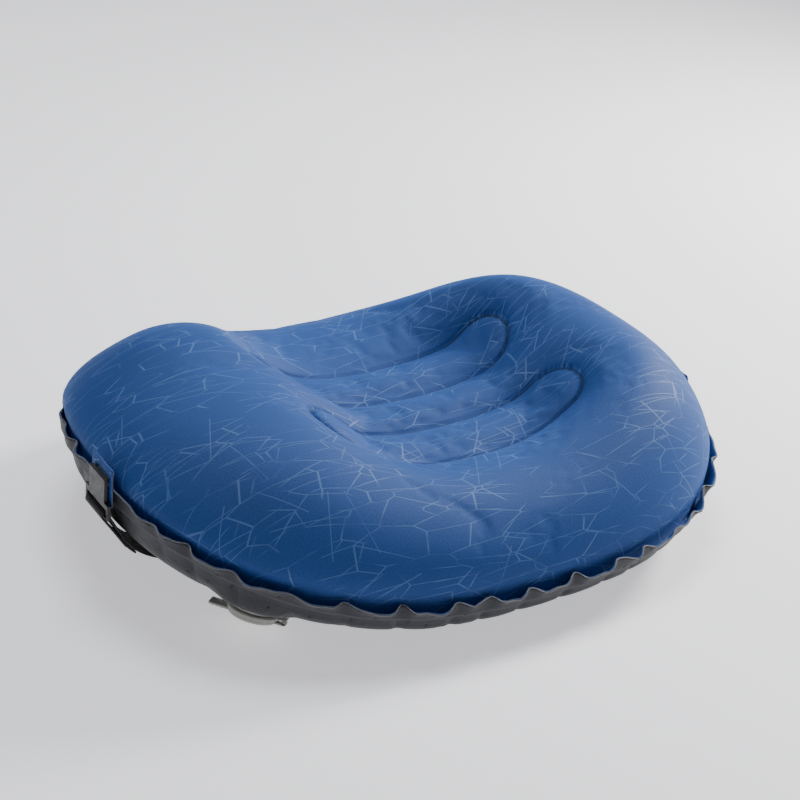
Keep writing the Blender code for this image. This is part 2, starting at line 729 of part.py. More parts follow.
def deflate_plug(frame, pivot):
    """Middle ring with a stopper in the base's bore, and a cross at the bottom of its own bore."""
    skirt = NECK_BORE - PLUG_CLEARANCE
    profile = [(PLUG_RADIUS, PLUG_TOP), (PLUG_RADIUS, PLUG_UNDERSIDE), (skirt, PLUG_STOPPER_TOP),
               (skirt - PLUG_TAPER, PLUG_STOPPER_END), (PLUG_BORE, PLUG_STOPPER_END), (PLUG_BORE, PLUG_TOP)]
    made = turned("deflate_plug", profile, VALVE_GREY, frame)
    reach = PLUG_BORE + CROSS_OVERLAP
    for kind, x, y in (("cross_x", reach, CROSS_HALF), ("cross_y", CROSS_HALF, reach)):
        boolean(made, box_cutter("plug_" + kind, (-x, -y, CROSS_LOW), (x, y, CROSS_HIGH), frame), "UNION")
    hub = cylinder_mesh("plug_hub", HUB_RADIUS, CROSS_LOW - HUB_MARGIN, CROSS_HIGH + HUB_MARGIN)
    boolean(made, hide_cutter(add_object("plug_hub", hub, None, frame, cutters)), "UNION")
    hole = cylinder_mesh("plug_stem_hole", STEM_HOLE_RADIUS, *STEM_CUT)
    boolean(made, hide_cutter(add_object("plug_stem_hole", hole, None, frame, cutters)), "DIFFERENCE")
    boolean(made, hinge_lug("plug_lug", PLUG_RADIUS, PLUG_LUG, frame), "UNION")
    keep_world(made, pivot)
    return made


def check_diaphragm(frame):
    return turned("check_diaphragm", DIAPHRAGM_PROFILE, SILICONE, frame, closed=False)


def inflate_cap(frame, pivot):
    """Round cap with a domed top, a stopper, a ribbed pull tab and a lug that its tether holds."""
    stopper = PLUG_BORE - CAP_CLEARANCE
    profile = [(0.0, CAP_TOP)] + [(CAP_RADIUS - inset, height) for inset, height in CAP_SHOULDERS]
    profile += [(CAP_RADIUS, CAP_EDGE_TOP), (CAP_RADIUS, CAP_UNDERSIDE), (stopper, CAP_UNDERSIDE),
                (stopper - CAP_TAPER, CAP_STOPPER_END), (0.0, CAP_STOPPER_END)]
    made = turned("inflate_cap", profile, VALVE_GREY, frame, closed=False)
    tab_plate = box_cutter("cap_pull_tab", (CAP_RADIUS - PULL_TAB_OVERLAP, -PULL_TAB_HALF, PULL_TAB_LOW),
                           (TAB_REACH, PULL_TAB_HALF, PULL_TAB_HIGH), frame)
    boolean(made, tab_plate, "UNION")
    for k in range(3):
        x = CAP_RADIUS + RIB_START + RIB_PITCH * k
        half = PULL_TAB_HALF - RIB_WIDTH
        rib = box_cutter("cap_rib_" + str(k), (x, -half, RIB_LOW), (x + RIB_WIDTH, half, RIB_HIGH), frame)
        boolean(made, rib, "UNION")
    boolean(made, hinge_lug("cap_lug", CAP_RADIUS, CAP_LUG, frame), "UNION")
    keep_world(made, pivot)
    return made


def keep_world(obj, pivot):
    """Hangs a piece on its joint's empty without moving it."""
    bpy.context.view_layer.update()
    world = obj.matrix_world.copy()
    obj.parent = pivot
    obj.matrix_parent_inverse = pivot.matrix_world.inverted()
    obj.matrix_world = world


def valve():
    frame = valve_frame()
    plug_pivot = pivot_at("plug_pivot", frame, PLUG_HINGE_HEIGHT)
    cap_pivot = pivot_at("cap_pivot", frame, CAP_HINGE_HEIGHT)
    bpy.context.view_layer.update()
    valve_body(frame)
    ring = ring_profile(HOLE_RADIUS + WELD_RING_GAP, WELD_RING_RADIUS, WELD_RING_LOW, WELD_RING_HIGH)
    turned("valve_weld_ring", ring, VALVE_GREY, frame)
    deflate_plug(frame, plug_pivot)
    check_diaphragm(frame)
    inflate_cap(frame, cap_pivot)
    outer = -HINGE_REACH - TETHER_OUTSIDE_HINGE
    height = PLUG_HINGE_HEIGHT - PLUG_TETHER_DROP
    tether("plug_tether", frame, [(outer, height), (-HINGE_REACH + PLUG_TETHER_REACH, height)])
    height = CAP_HINGE_HEIGHT - CAP_TETHER_DROP
    tether("cap_tether", frame, [(outer, height), (-PLUG_RADIUS - GAP, height)])
    mesh = cylinder_mesh("valve_hole", HOLE_RADIUS, *HOLE_CUT, segments=VALVE_STEPS)
    return hide_cutter(add_object("valve_hole", mesh, None, frame, cutters))


# ---- the whole pillow ---------------------------------------------------------------------------

def build():
    top_panel()
    bottom_panel(valve())
    tie_band("tie_band_back", BAND_CENTRE_BACK)
    tie_band("tie_band_front", BAND_CENTRE_FRONT)
    for name, side in (("left", -1), ("right", 1)):
        frame = end_frame(name + "_end", side)
        tab("tab_" + name, frame)
        hook("hook_" + name, frame)
    strap_main()
    slider = bpy.data.objects.new("slider_frame", None)
    parts.objects.link(slider)
    slider.location = (SLIDER_X, STRAP_Y, SLIDER_BAR_Z)
    strap_slack(slider)
    strap_end_loop(slider)
    strap_slider(slider)
    bartack_left()
    below = -(WEBBING_THICK + 2 * GAP)
    bartack("bartack_slider", END_LOOP_LENGTH - BARTACK_FROM_END, below - BARTACK_LIFT, 0.0, slider)


build()
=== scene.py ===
import json
import math
import random

import bmesh
import bpy
import numpy as np
from mathutils import Matrix, Vector


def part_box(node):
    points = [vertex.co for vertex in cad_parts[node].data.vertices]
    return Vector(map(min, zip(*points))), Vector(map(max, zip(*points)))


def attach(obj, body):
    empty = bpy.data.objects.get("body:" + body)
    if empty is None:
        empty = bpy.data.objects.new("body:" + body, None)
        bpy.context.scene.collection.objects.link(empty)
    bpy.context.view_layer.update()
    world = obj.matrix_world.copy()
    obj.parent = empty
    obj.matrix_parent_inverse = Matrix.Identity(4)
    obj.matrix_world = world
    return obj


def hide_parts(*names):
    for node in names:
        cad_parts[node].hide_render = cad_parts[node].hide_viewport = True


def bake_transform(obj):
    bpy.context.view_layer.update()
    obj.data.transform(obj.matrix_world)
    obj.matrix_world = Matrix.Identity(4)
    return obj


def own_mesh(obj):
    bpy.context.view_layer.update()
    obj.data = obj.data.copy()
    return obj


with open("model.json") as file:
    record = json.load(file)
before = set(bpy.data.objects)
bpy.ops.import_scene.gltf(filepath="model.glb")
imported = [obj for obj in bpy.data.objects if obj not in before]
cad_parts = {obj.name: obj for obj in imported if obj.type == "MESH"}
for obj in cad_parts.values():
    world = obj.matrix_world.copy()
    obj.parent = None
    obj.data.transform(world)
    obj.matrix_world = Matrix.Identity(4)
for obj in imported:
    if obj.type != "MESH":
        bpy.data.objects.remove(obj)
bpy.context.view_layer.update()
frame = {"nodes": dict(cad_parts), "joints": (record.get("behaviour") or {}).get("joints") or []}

# ---- sizes, in metres, repeated from the CAD part where they are the same --------------------------

HALF_LENGTH, HALF_WIDTH, SQUARENESS = 0.214, 0.164, 2.48
SEAM_HEIGHT = ((0.044, 0.036, 0.064, 0.023), (0.0, 0.0, 0.0, 0.0))
CREST_RISE = ((0.066, 0.034, 0.046, 0.056), (0.014, 0.020, 0.007, 0.007))
ARC_POWER = ((1.80, 2.0, 2.0, 2.0), (-0.10, 0.0, 0.0, 0.0))
CREST_INSET = ((0.056, 0.048, 0.088, 0.058), (0.0, 0.0, 0.0, 0.0))
SLOPE_WIDTH = ((0.085, 0.046, 0.104, 0.050), (-0.016, 0.0, 0.0, 0.0))
SLOPE_BEND, LEFT_FULL = 0.24, 0.5
LOBE_HEIGHT = ((0.020, -0.002, 0.020, -0.002), (-0.006, -0.006, 0.004, -0.006))
DISH_FLOOR, DISH_MIDDLE = 0.0660, -0.002
DISH_CURVE_RIGHT, DISH_CURVE_LEFT = 0.80, 2.6
LOBE_INSET, VALLEY_WIDTH, VALLEY_HEIGHT = 0.048, 0.045, 0.026

# The welds over the tie bands, one capsule for each.
WELD_X, WELD_HALF, WELD_RADIUS = 0.015, 0.101, 0.022
WELD_MIDDLES = (0.047, -0.038)
WELD_BEND, WELD_BEND_END = 0.0045, 1.2
TOP_GROOVE, TOP_GROOVE_REACH = 0.0070, 0.0155
BOTTOM_GROOVE, BOTTOM_GROOVE_REACH = 0.0045, 0.014

# The bands' walls between the panels.
BAND_FILM, BAND_CLEARANCE, BAND_BOW, BAND_ROWS = 0.0004, 0.0012, 0.0010, 12
VENT_SPACING, VENT_HALF, VENT_ROWS = 0.045, 0.0042, (4, 8)

# Fabric, and the rim outside the weld.
FABRIC = 0.0006
SHEET_GAP = 0.0002
RIM_ROOT = 0.003
RIM_LENGTH_DIP, RIM_LENGTH_PEAK = 0.0080, 0.0094
LEAN_DIP = ((0.05, 0.12, 0.30, 0.78), (0.00, -0.10, 0.30, 0.22))
LEAN_PEAK = math.radians(-8)
LEAN_AT_ROOT, LEAN_GAIN = 0.55, 0.75
RIM_ROWS = 6
RIM_FOOT, RIM_FLAT_STEP = 0.0008, 0.0015
ROOT_PINCH = 0.0011
CORNER_SHARE, CORNER_RISE = 0.4, 0.1
# Small ripples in the rim: the lean of each, its length over 2 pi, and where it starts.
RIPPLES = ((0.10, 0.0047, 0.0), (0.07, 0.0029, 1.3))
FIRST_PEAK, LAST_PEAK_ROOM = 0.006, 0.6
PEAK_PITCH = (0.019, 0.036)
PEAK_HEIGHT = (0.35, 1.0)
PEAK_WIDTH = (0.0050, 0.0085)
PEAK_SKEW = (-0.35, 0.35)
# The rim is calm where the tabs and hooks stand in front of it.
CALM_HALF, CALM_FADE, CALM_FROM = 0.016, 0.014, 0.9
# How far the top panel bulges out over the rim.
OVERHANG = ((0.0020, 0.0020, 0.0045, 0.0015), (0.0010, 0.0045, 0.0010, 0.0))
OVERHANG_START, OVERHANG_FULL, OVERHANG_END = 0.004, 0.016, 0.048
OVERHANG_FROM, OVERHANG_FADE = 0.7, 0.2
# Folds run in from the weld: a narrow crease and a wide hollow under each peak.
FOLD_WIDTH, FOLD_WIDE_SCALE = 0.0028, 1.6
FOLD_NARROW, FOLD_WIDE, FOLD_BETWEEN = 0.75, 0.30, 0.12
FOLD_AT_WELD, FOLD_GROWN = 0.45, 0.006
FOLD_FROM, FOLD_FADE = 0.80, 0.12
FOLD_DEPTH_TOP, FOLD_REACH_TOP = 0.0016, 0.016
FOLD_DEPTH_BOTTOM, FOLD_REACH_BOTTOM = 0.0042, 0.027

# Tabs. Heights are above the tab's foot.
TAB_FACE, TAB_HALF, TAB_THICK, TAB_THICK_HALF, TAB_LOW = 0.220, 0.014, 0.0007, 0.0004, 0.0005
TAB_SLOT_HALF, TAB_SLOT = 0.0095, (0.0105, 0.0185)
TAB_ROWS, TAB_COLUMNS = 26, 28
TAB_CORNER, TAB_CORNER_IN, TAB_CORNER_DROP = 0.003, 0.02, 0.0012
TAB_CURL, TAB_CURL_FROM, TAB_CURL_LENGTH = 0.0007, 0.019, 0.005
TAB_WAVE, TAB_WAVES = 0.00025, 420
TAB_FOLD_RADIUS, TAB_FOLD_TALL, TAB_FOLD_SIDES = 0.00075, 1.3, 8
TAB_FOLD_DEPTH, TAB_FOLD_DROP, TAB_FOLD_END = 0.0010, 0.0001, 0.0012

# Strap.
STRAP_Y = -0.022
HOOK_DEPTH, HOOK_BAR_HEIGHT = 0.0023, -0.006
WEBBING_HALF, WEBBING_THICK = 0.0125, 0.0012
LOOP_RADIUS, END_LOOP_RADIUS = 0.0024, 0.0020
STRAP_OUTSIDE_LOBE, STRAP_BELOW_LOBE, LAYER_PITCH = 0.0026, 0.0032, 0.0017
STRAP_MEETS_LOBE, SEWN_ANGLE = math.radians(30), math.radians(46)
SEAM_DROP = 0.0019
RETURN_END = 0.150
SLIDER_BAR_RADIUS = 0.0011
STRAP_GAP = 0.0003
SLIDER_X = 0.060
END_LOOP_LENGTH, END_LOOP_NECK, END_LOOP_SPREAD = 0.0103, 0.55, 0.0004
TAPE_STEP, END_LOOP_STEP, SELVEDGE = 0.0014, 0.0006, 0.8
# Blocks of zigzag stitches.
TACK_HALF_LENGTH, TACK_HALF_WIDTH, TACK_RADIUS, TACK_TURNS, TACK_SIDES = 0.0100, 0.0012, 0.00028, 15, 6
TACK_LIFT, TACK_FROM_END = 0.0001, 0.0022

# Valve, in its own frame.
HINGE_REACH, PLUG_HINGE_HEIGHT = 0.0185, 0.0032
VALVE_FLAT_RADIUS, VALVE_FLAT_FADE, VALVE_FLAT_HEIGHT = 0.0195, 0.013, 0.014
VALVE_HOLE_RADIUS, VALVE_HOLE_REACH = 0.0122, 0.012

# The pressure run: cloth with a little to spare, held at its welds.
CLOTH_GRID, CLOTH_FRAMES = 0.0045, 18
CLOTH_PRESSURE, CLOTH_SPARE = 4.0, 0.004
CLOTH_MASS, CLOTH_STRETCH, CLOTH_SHEAR, CLOTH_BENDING, CLOTH_QUALITY = 0.25, 30.0, 12.0, 0.02, 6
CLOTH_SWELL, CLOTH_CAP, CLOTH_BLUR = 0.15, 0.0016, 5
RESTS_BELOW, VALVE_HOLD_RADIUS = 0.0005, 0.022

FLOOR_GLOW = 0.70

GRID = 0.0019
GRID_SQUARE, GRID_BEND_FADE = 0.5, 0.4
DEVELOP_STEPS = 36
LATHE_STEPS = 112
BAND_STEPS = 120
RNG = random.Random(41)


# ---- shape of the inflated body --------------------------------------------------------------------

def smooth(t):
    t = np.clip(t, 0.0, 1.0)
    return t * t * (3.0 - 2.0 * t)


def even_slope(t):
    """Falls evenly from 0 to 1 in its middle, and eases in and out over a share of its length."""
    t = np.clip(t, 0.0, 1.0)
    height = 1.0 / (1.0 - SLOPE_BEND)
    ease_in = height * t ** 2 / (2 * SLOPE_BEND)
    ease_out = 1.0 - height * (1.0 - t) ** 2 / (2 * SLOPE_BEND)
    even = height * (t - SLOPE_BEND / 2)
    return np.where(t < SLOPE_BEND, ease_in, np.where(t > 1.0 - SLOPE_BEND, ease_out, even))


def rim_radius(angle):
    along = (np.abs(np.cos(angle)) / HALF_LENGTH) ** SQUARENESS
    across = (np.abs(np.sin(angle)) / HALF_WIDTH) ** SQUARENESS
    return (along + across) ** (-1.0 / SQUARENESS)


def station(values, angle):
    """A size that changes round the rim, blended between its four stations and four corners."""
    (right, back, left, front), (back_right, back_left, front_left, front_right) = values
    c, s = np.cos(angle), np.sin(angle)
    along = (rim_radius(angle) * np.abs(c) / HALF_LENGTH) ** SQUARENESS
    across = 1.0 - along
    corner = np.where(s > 0, np.where(c > 0, back_right, back_left), np.where(c > 0, front_right, front_left))
    return along * np.where(c > 0, right, left) + across * np.where(s > 0, back, front) \
        + 4.0 * along * across * corner


def top_plain(angle, inset):
    """The top panel's outer face before the welds over the tie bands draw it in."""
    seam, rise, crest = station(SEAM_HEIGHT, angle), station(CREST_RISE, angle), station(CREST_INSET, angle)
    share = np.clip((crest - inset) / crest, 0.0, 1.0)
    power = station(ARC_POWER, angle)
    arc = seam + rise * (1.0 - share ** power) ** (1.0 / power)
    t = np.clip((inset - crest) / station(SLOPE_WIDTH, angle), 0.0, 1.0)
    left_share = smooth(-np.cos(angle) / LEFT_FULL)
    drop = smooth(t) * (1.0 - left_share) + even_slope(t) * left_share
    along = (rim_radius(angle) - inset) * np.cos(angle) - DISH_MIDDLE
    curve = np.where(along > 0, DISH_CURVE_RIGHT, DISH_CURVE_LEFT)
    floor = np.minimum(DISH_FLOOR + curve * along ** 2, seam + rise)
    return np.where(inset < crest, arc, (seam + rise) * (1.0 - drop) + floor * drop)


def bottom_plain(angle, inset, seam_drop=SEAM_DROP):
    seam = station(SEAM_HEIGHT, angle) - seam_drop
    lobe = station(LOBE_HEIGHT, angle)
    share = np.clip((LOBE_INSET - inset) / LOBE_INSET, 0.0, 1.0)
    arc = seam - (seam - lobe) * np.sqrt(1.0 - share ** 2)
    lift = smooth((inset - LOBE_INSET) / VALLEY_WIDTH)
    return np.maximum(np.where(inset < LOBE_INSET, arc, lobe * (1.0 - lift) + VALLEY_HEIGHT * lift), 0.0)


def weld_bend(x):
    """How far back a weld's middle line lies there: forward at its middle, back at its ends."""
    return WELD_BEND * (2.0 * np.clip((x - WELD_X) / WELD_HALF, -WELD_BEND_END, WELD_BEND_END) ** 2 - 1.0)


def weld_distance(x, y):
    """Signed distance in plan from the nearest capsule's outline, and the direction away from it."""
    best = np.full(np.shape(x), 1.0)
    away_x, away_y = np.zeros(np.shape(x)), np.zeros(np.shape(x))
    for middle in WELD_MIDDLES:
        reach = WELD_HALF - WELD_RADIUS
        dx = (x - WELD_X) - np.clip(x - WELD_X, -reach, reach)
        dy = y - middle - weld_bend(x)
        far = np.hypot(dx, dy)
        signed = far - WELD_RADIUS
        nearer = np.abs(signed) < np.abs(best)
        best = np.where(nearer, signed, best)
        away_x = np.where(nearer, dx / np.maximum(far, 1e-9), away_x)
        away_y = np.where(nearer, dy / np.maximum(far, 1e-9), away_y)
    return best, away_x, away_y


def cusp(distance, reach):
    """1 on a weld line, falling away steeply at first and then gently, as cloth bulges from a weld."""
    t = np.clip(np.abs(distance) / reach, 0.0, 1.0)
    return 1.0 - np.sqrt(1.0 - (1.0 - t) ** 2)


def top_surface(x, y):
    angle = np.arctan2(y, x)
    inset = np.maximum(rim_radius(angle) - np.hypot(x, y), 0.0)
    signed, _, _ = weld_distance(x, y)
    return top_plain(angle, inset) - TOP_GROOVE * cusp(signed, TOP_GROOVE_REACH)


def bottom_surface(x, y):
    angle = np.arctan2(y, x)
    inset = np.maximum(rim_radius(angle) - np.hypot(x, y), 0.0)
    signed, _, _ = weld_distance(x, y)
    drop = 2 * FABRIC + SHEET_GAP
    return bottom_plain(angle, inset, drop) + BOTTOM_GROOVE * cusp(signed, BOTTOM_GROOVE_REACH)


# ---- position round the rim, and the folds in it ---------------------------------------------------

RIM_ANGLES = np.linspace(0.0, 2 * math.pi, 4097)
RIM_POINTS = rim_radius(RIM_ANGLES)[:, None] * np.stack([np.cos(RIM_ANGLES), np.sin(RIM_ANGLES)], -1)
RIM_WAY = np.concatenate([[0.0], np.cumsum(np.linalg.norm(np.diff(RIM_POINTS, axis=0), axis=1))])


def way_round(angle):
    return np.interp(np.mod(angle, 2 * math.pi), RIM_ANGLES, RIM_WAY)


def rim_peaks():
    """Places of the pucker folds round the rim, with the height, width and skew of each."""
    peaks, way = [], FIRST_PEAK
    while way < RIM_WAY[-1] - PEAK_PITCH[0] * LAST_PEAK_ROOM:
        peaks.append((way, RNG.uniform(*PEAK_HEIGHT), RNG.uniform(*PEAK_WIDTH), RNG.uniform(*PEAK_SKEW)))
        way += RNG.uniform(*PEAK_PITCH)
    return peaks


PEAKS = rim_peaks()


def peak_share(way, width_scale=1.0, fixed_width=None):
    """0 between folds and up to 1 on them."""
    share = np.zeros(np.shape(way))
    for middle, height, width, skew in PEAKS:
        gap = np.abs(way - middle)
        side = np.where(way > middle, 1.0 + skew, 1.0 - skew)
        gap = np.minimum(gap, RIM_WAY[-1] - gap)
        wide = (fixed_width or width * width_scale) * side
        share = np.maximum(share, height * np.exp(-(gap / wide) ** 2))
    return share


def calm_at_strap(x, y):
    """0 where the tabs and hooks stand in front of the rim, and 1 elsewhere."""
    near = smooth(1.0 - (np.abs(y - STRAP_Y) - CALM_HALF) / CALM_FADE)
    return 1.0 - near * (np.abs(x) > HALF_LENGTH * CALM_FROM)


def fold_in(x, y, z, seam, depth, reach):
    """Moves points near the weld in towards the middle, under each fold."""
    angle = np.arctan2(y, x)
    below = np.abs(z - seam)
    way = way_round(angle)
    narrow = peak_share(way, fixed_width=FOLD_WIDTH)
    wide = peak_share(way, width_scale=FOLD_WIDE_SCALE)
    grow = FOLD_AT_WELD + (1.0 - FOLD_AT_WELD) * smooth(below / FOLD_GROWN)
    fade = 1.0 - smooth(below / reach)
    side = smooth((np.hypot(x, y) / rim_radius(angle) - FOLD_FROM) / FOLD_FADE)
    hollow = narrow * FOLD_NARROW + wide * FOLD_WIDE - FOLD_BETWEEN
    move = depth * hollow * grow * fade * side * calm_at_strap(x, y)
    radius = np.maximum(np.hypot(x, y), 1e-6)
    return x - x / radius * move, y - y / radius * move


# ---- building sheets -------------------------------------------------------------------------------

def lines_between(stops, spacing):
    values = [stops[0]]
    for low, high in zip(stops, stops[1:]):
        count = max(1, round((high - low) / spacing))
        values += [low + (high - low) * k / count for k in range(1, count + 1)]
    return np.array(values)


def grid_lines(spacing):
    stops = sorted(middle + side * WELD_RADIUS for middle in WELD_MIDDLES for side in (-1, 1))
    return (lines_between([-HALF_LENGTH, HALF_LENGTH], spacing),
            lines_between([-HALF_WIDTH, *stops, HALF_WIDTH], spacing))


def plan_grid(spacing):
    """A grid of points that fills the outline. Its lines run along the welds in the middle."""
    x, y = np.meshgrid(*grid_lines(spacing))
    square = np.maximum(np.abs(x) / HALF_LENGTH, np.abs(y) / HALF_WIDTH)
    angle = np.arctan2(y, x)
    edge = 1.0 / np.maximum(np.abs(np.cos(angle)) / HALF_LENGTH, np.abs(np.sin(angle)) / HALF_WIDTH)
    rounded_share = np.clip((square - GRID_SQUARE) / (1.0 - GRID_SQUARE), 0.0, 1.0)
    shrink = 1.0 + (rim_radius(angle) / edge - 1.0) * rounded_share
    x, y = x * shrink, y * shrink
    return x, y + weld_bend(x) * (1.0 - smooth((square - GRID_SQUARE) / GRID_BEND_FADE))


def snap_to_welds(x, y, spacing):
    signed, away_x, away_y = weld_distance(x, y)
    near = np.abs(signed) < 0.5 * spacing * np.maximum(np.abs(away_x), np.abs(away_y))
    return np.where(near, x - away_x * signed, x), np.where(near, y - away_y * signed, y), near


def boundary_order(shape):
    rows, columns = shape
    order = [(0, i) for i in range(columns)] + [(j, columns - 1) for j in range(1, rows)]
    order += [(rows - 1, i) for i in range(columns - 2, -1, -1)] + [(j, 0) for j in range(rows - 2, 0, -1)]
    return [j * columns + i for j, i in order]


def rim_strip(x, y, offset):
    """Rows of points from the weld to the cut edge, for rim points (x, y), at an offset outside the top's."""
    nx = np.sign(x) * np.abs(x) ** (SQUARENESS - 1) / HALF_LENGTH ** SQUARENESS
    ny = np.sign(y) * np.abs(y) ** (SQUARENESS - 1) / HALF_WIDTH ** SQUARENESS
    size = np.hypot(nx, ny)
    nx, ny = nx / size, ny / size
    angle = np.arctan2(y, x)
    way = way_round(angle)
    calm = calm_at_strap(x, y)
    peak = peak_share(way) * calm
    seam = station(SEAM_HEIGHT, angle)
    ripple = sum(lean * np.sin(way / length + start) for lean, length, start in RIPPLES)
    lean = (station(LEAN_DIP, angle) * (1.0 - peak) + LEAN_PEAK * peak + ripple * (1.0 - peak)) * calm
    length = RIM_LENGTH_DIP + (RIM_LENGTH_PEAK - RIM_LENGTH_DIP) * peak
    root = RIM_ROOT - ROOT_PINCH * peak
    rows = [(x + nx * root * 0.5, y + ny * root * 0.5, seam - offset)]
    out, up = root + offset * CORNER_SHARE, -offset * CORNER_SHARE
    rows.append((x + nx * out, y + ny * out, seam + up))
    out, up = root + offset, np.full(np.shape(x), offset * CORNER_RISE)
    for k in range(RIM_ROWS):
        share = k / (RIM_ROWS - 1)
        turn = lean * (LEAN_AT_ROOT + LEAN_GAIN * share)
        across, rise = out - offset + np.cos(turn) * offset, up - np.sin(turn) * offset
        rows.append((x + nx * across, y + ny * across, seam + rise + RIM_FOOT))
        step = length / (RIM_ROWS - 1)
        out = out + np.sin(turn) * step
        up = up + np.cos(turn) * step
    return rows


def developed(x, y, plain):
    """Where each point lies on the fabric when the fabric is laid flat, measured out from the middle."""
    angle = np.arctan2(y, x)
    radius = np.hypot(x, y)
    length = np.zeros(np.shape(x))
    before = None
    for k in range(DEVELOP_STEPS + 1):
        r = radius * k / DEVELOP_STEPS
        z = plain(angle, np.maximum(rim_radius(angle) - r, 0.0))
        if before is not None:
            length += np.hypot(r - before[0], z - before[1])
        before = (r, z)
    scale = length / np.maximum(radius, 1e-6)
    return x * scale, y * scale


def quads(rows, columns, upside_down=False):
    faces = [(j * columns + i, j * columns + i + 1, (j + 1) * columns + i + 1, (j + 1) * columns + i)
             for j in range(rows - 1) for i in range(columns - 1)]
    return [f[::-1] for f in faces] if upside_down else faces


def between_lines(values, lines, places, axis):
    """Values given on grid lines, found at other places along that axis."""
    place = np.interp(places, lines, np.arange(len(lines)))
    low = np.minimum(place.astype(int), len(lines) - 2)
    share = (place - low).reshape([-1 if k == axis else 1 for k in range(values.ndim)])
    return np.take(values, low, axis) * (1.0 - share) + np.take(values, low + 1, axis) * share


def blurred(values, reach):
    """The mean over a square of points round each one."""
    for axis in (0, 1):
        padded = np.pad(values, [(reach, reach) if k == axis else (0, 0) for k in range(3)], mode="edge")
        total = np.cumsum(np.concatenate([np.zeros_like(np.take(padded, [0], axis)), padded], axis), axis)
        count = values.shape[axis]
        high = np.take(total, np.arange(count) + 2 * reach + 1, axis)
        values = (high - np.take(total, np.arange(count), axis)) / (2 * reach + 1)
    return values


def blown_up(surface, moves, upside_down):
    """How far air pressure moves each point of the finer grid, from cloth held at the rim and the band welds.

    The sheet is given a little spare cloth, so it wrinkles where it is held. What is kept of the movement is
    its detail and a small share of the overall swelling, because the shape is already an inflated one.
    """
    x, y = plan_grid(CLOTH_GRID)
    x, y, held = snap_to_welds(x, y, CLOTH_GRID)
    dx, dy, dz = moves(x, y)
    start = np.stack([x + dx, y + dy, surface(x, y) + dz], -1)
    rows, columns = x.shape
    mesh = bpy.data.meshes.new("cloth_start")
    mesh.from_pydata(start.reshape(-1, 3).tolist(), [], quads(rows, columns, upside_down))
    cloth = bpy.data.objects.new("cloth_start", mesh)
    bpy.context.scene.collection.objects.link(cloth)
    held[[0, -1], :] = True
    held[:, [0, -1]] = True
    if upside_down:
        held |= start[..., 2] < RESTS_BELOW
        held |= np.hypot(*in_valve_frame(start.reshape(-1, 3)).T[:2]).reshape(rows, columns) < VALVE_HOLD_RADIUS
    cloth.vertex_groups.new(name="held").add(np.flatnonzero(held).tolist(), 1.0, "REPLACE")
    run = cloth.modifiers.new("cloth", "CLOTH")
    run.settings.quality = CLOTH_QUALITY
    run.settings.mass = CLOTH_MASS
    run.settings.tension_stiffness = run.settings.compression_stiffness = CLOTH_STRETCH
    run.settings.shear_stiffness = CLOTH_SHEAR
    run.settings.bending_stiffness = CLOTH_BENDING
    run.settings.use_pressure = True
    run.settings.uniform_pressure_force = CLOTH_PRESSURE
    run.settings.shrink_min = -CLOTH_SPARE
    run.settings.effector_weights.gravity = 0.0
    run.settings.vertex_group_mass = "held"
    run.collision_settings.use_collision = False
    run.point_cache.frame_start, run.point_cache.frame_end = 1, CLOTH_FRAMES
    for step in range(1, CLOTH_FRAMES + 1):
        bpy.context.scene.frame_set(step)
    shape = cloth.evaluated_get(bpy.context.evaluated_depsgraph_get()).data
    end = np.zeros(len(shape.vertices) * 3)
    shape.vertices.foreach_get("co", end)
    moved = end.reshape(rows, columns, 3) - start
    bpy.context.scene.frame_set(1)
    bpy.data.objects.remove(cloth)
    kept = moved - (1.0 - CLOTH_SWELL) * blurred(moved, CLOTH_BLUR)
    size = np.linalg.norm(kept, axis=-1, keepdims=True)
    kept *= np.minimum(1.0, CLOTH_CAP / np.maximum(size, 1e-9))
    kept[held] = 0.0
    lines, fine = grid_lines(CLOTH_GRID), grid_lines(GRID)
    return between_lines(between_lines(kept, lines[1], fine[1], 0), lines[0], fine[0], 1)


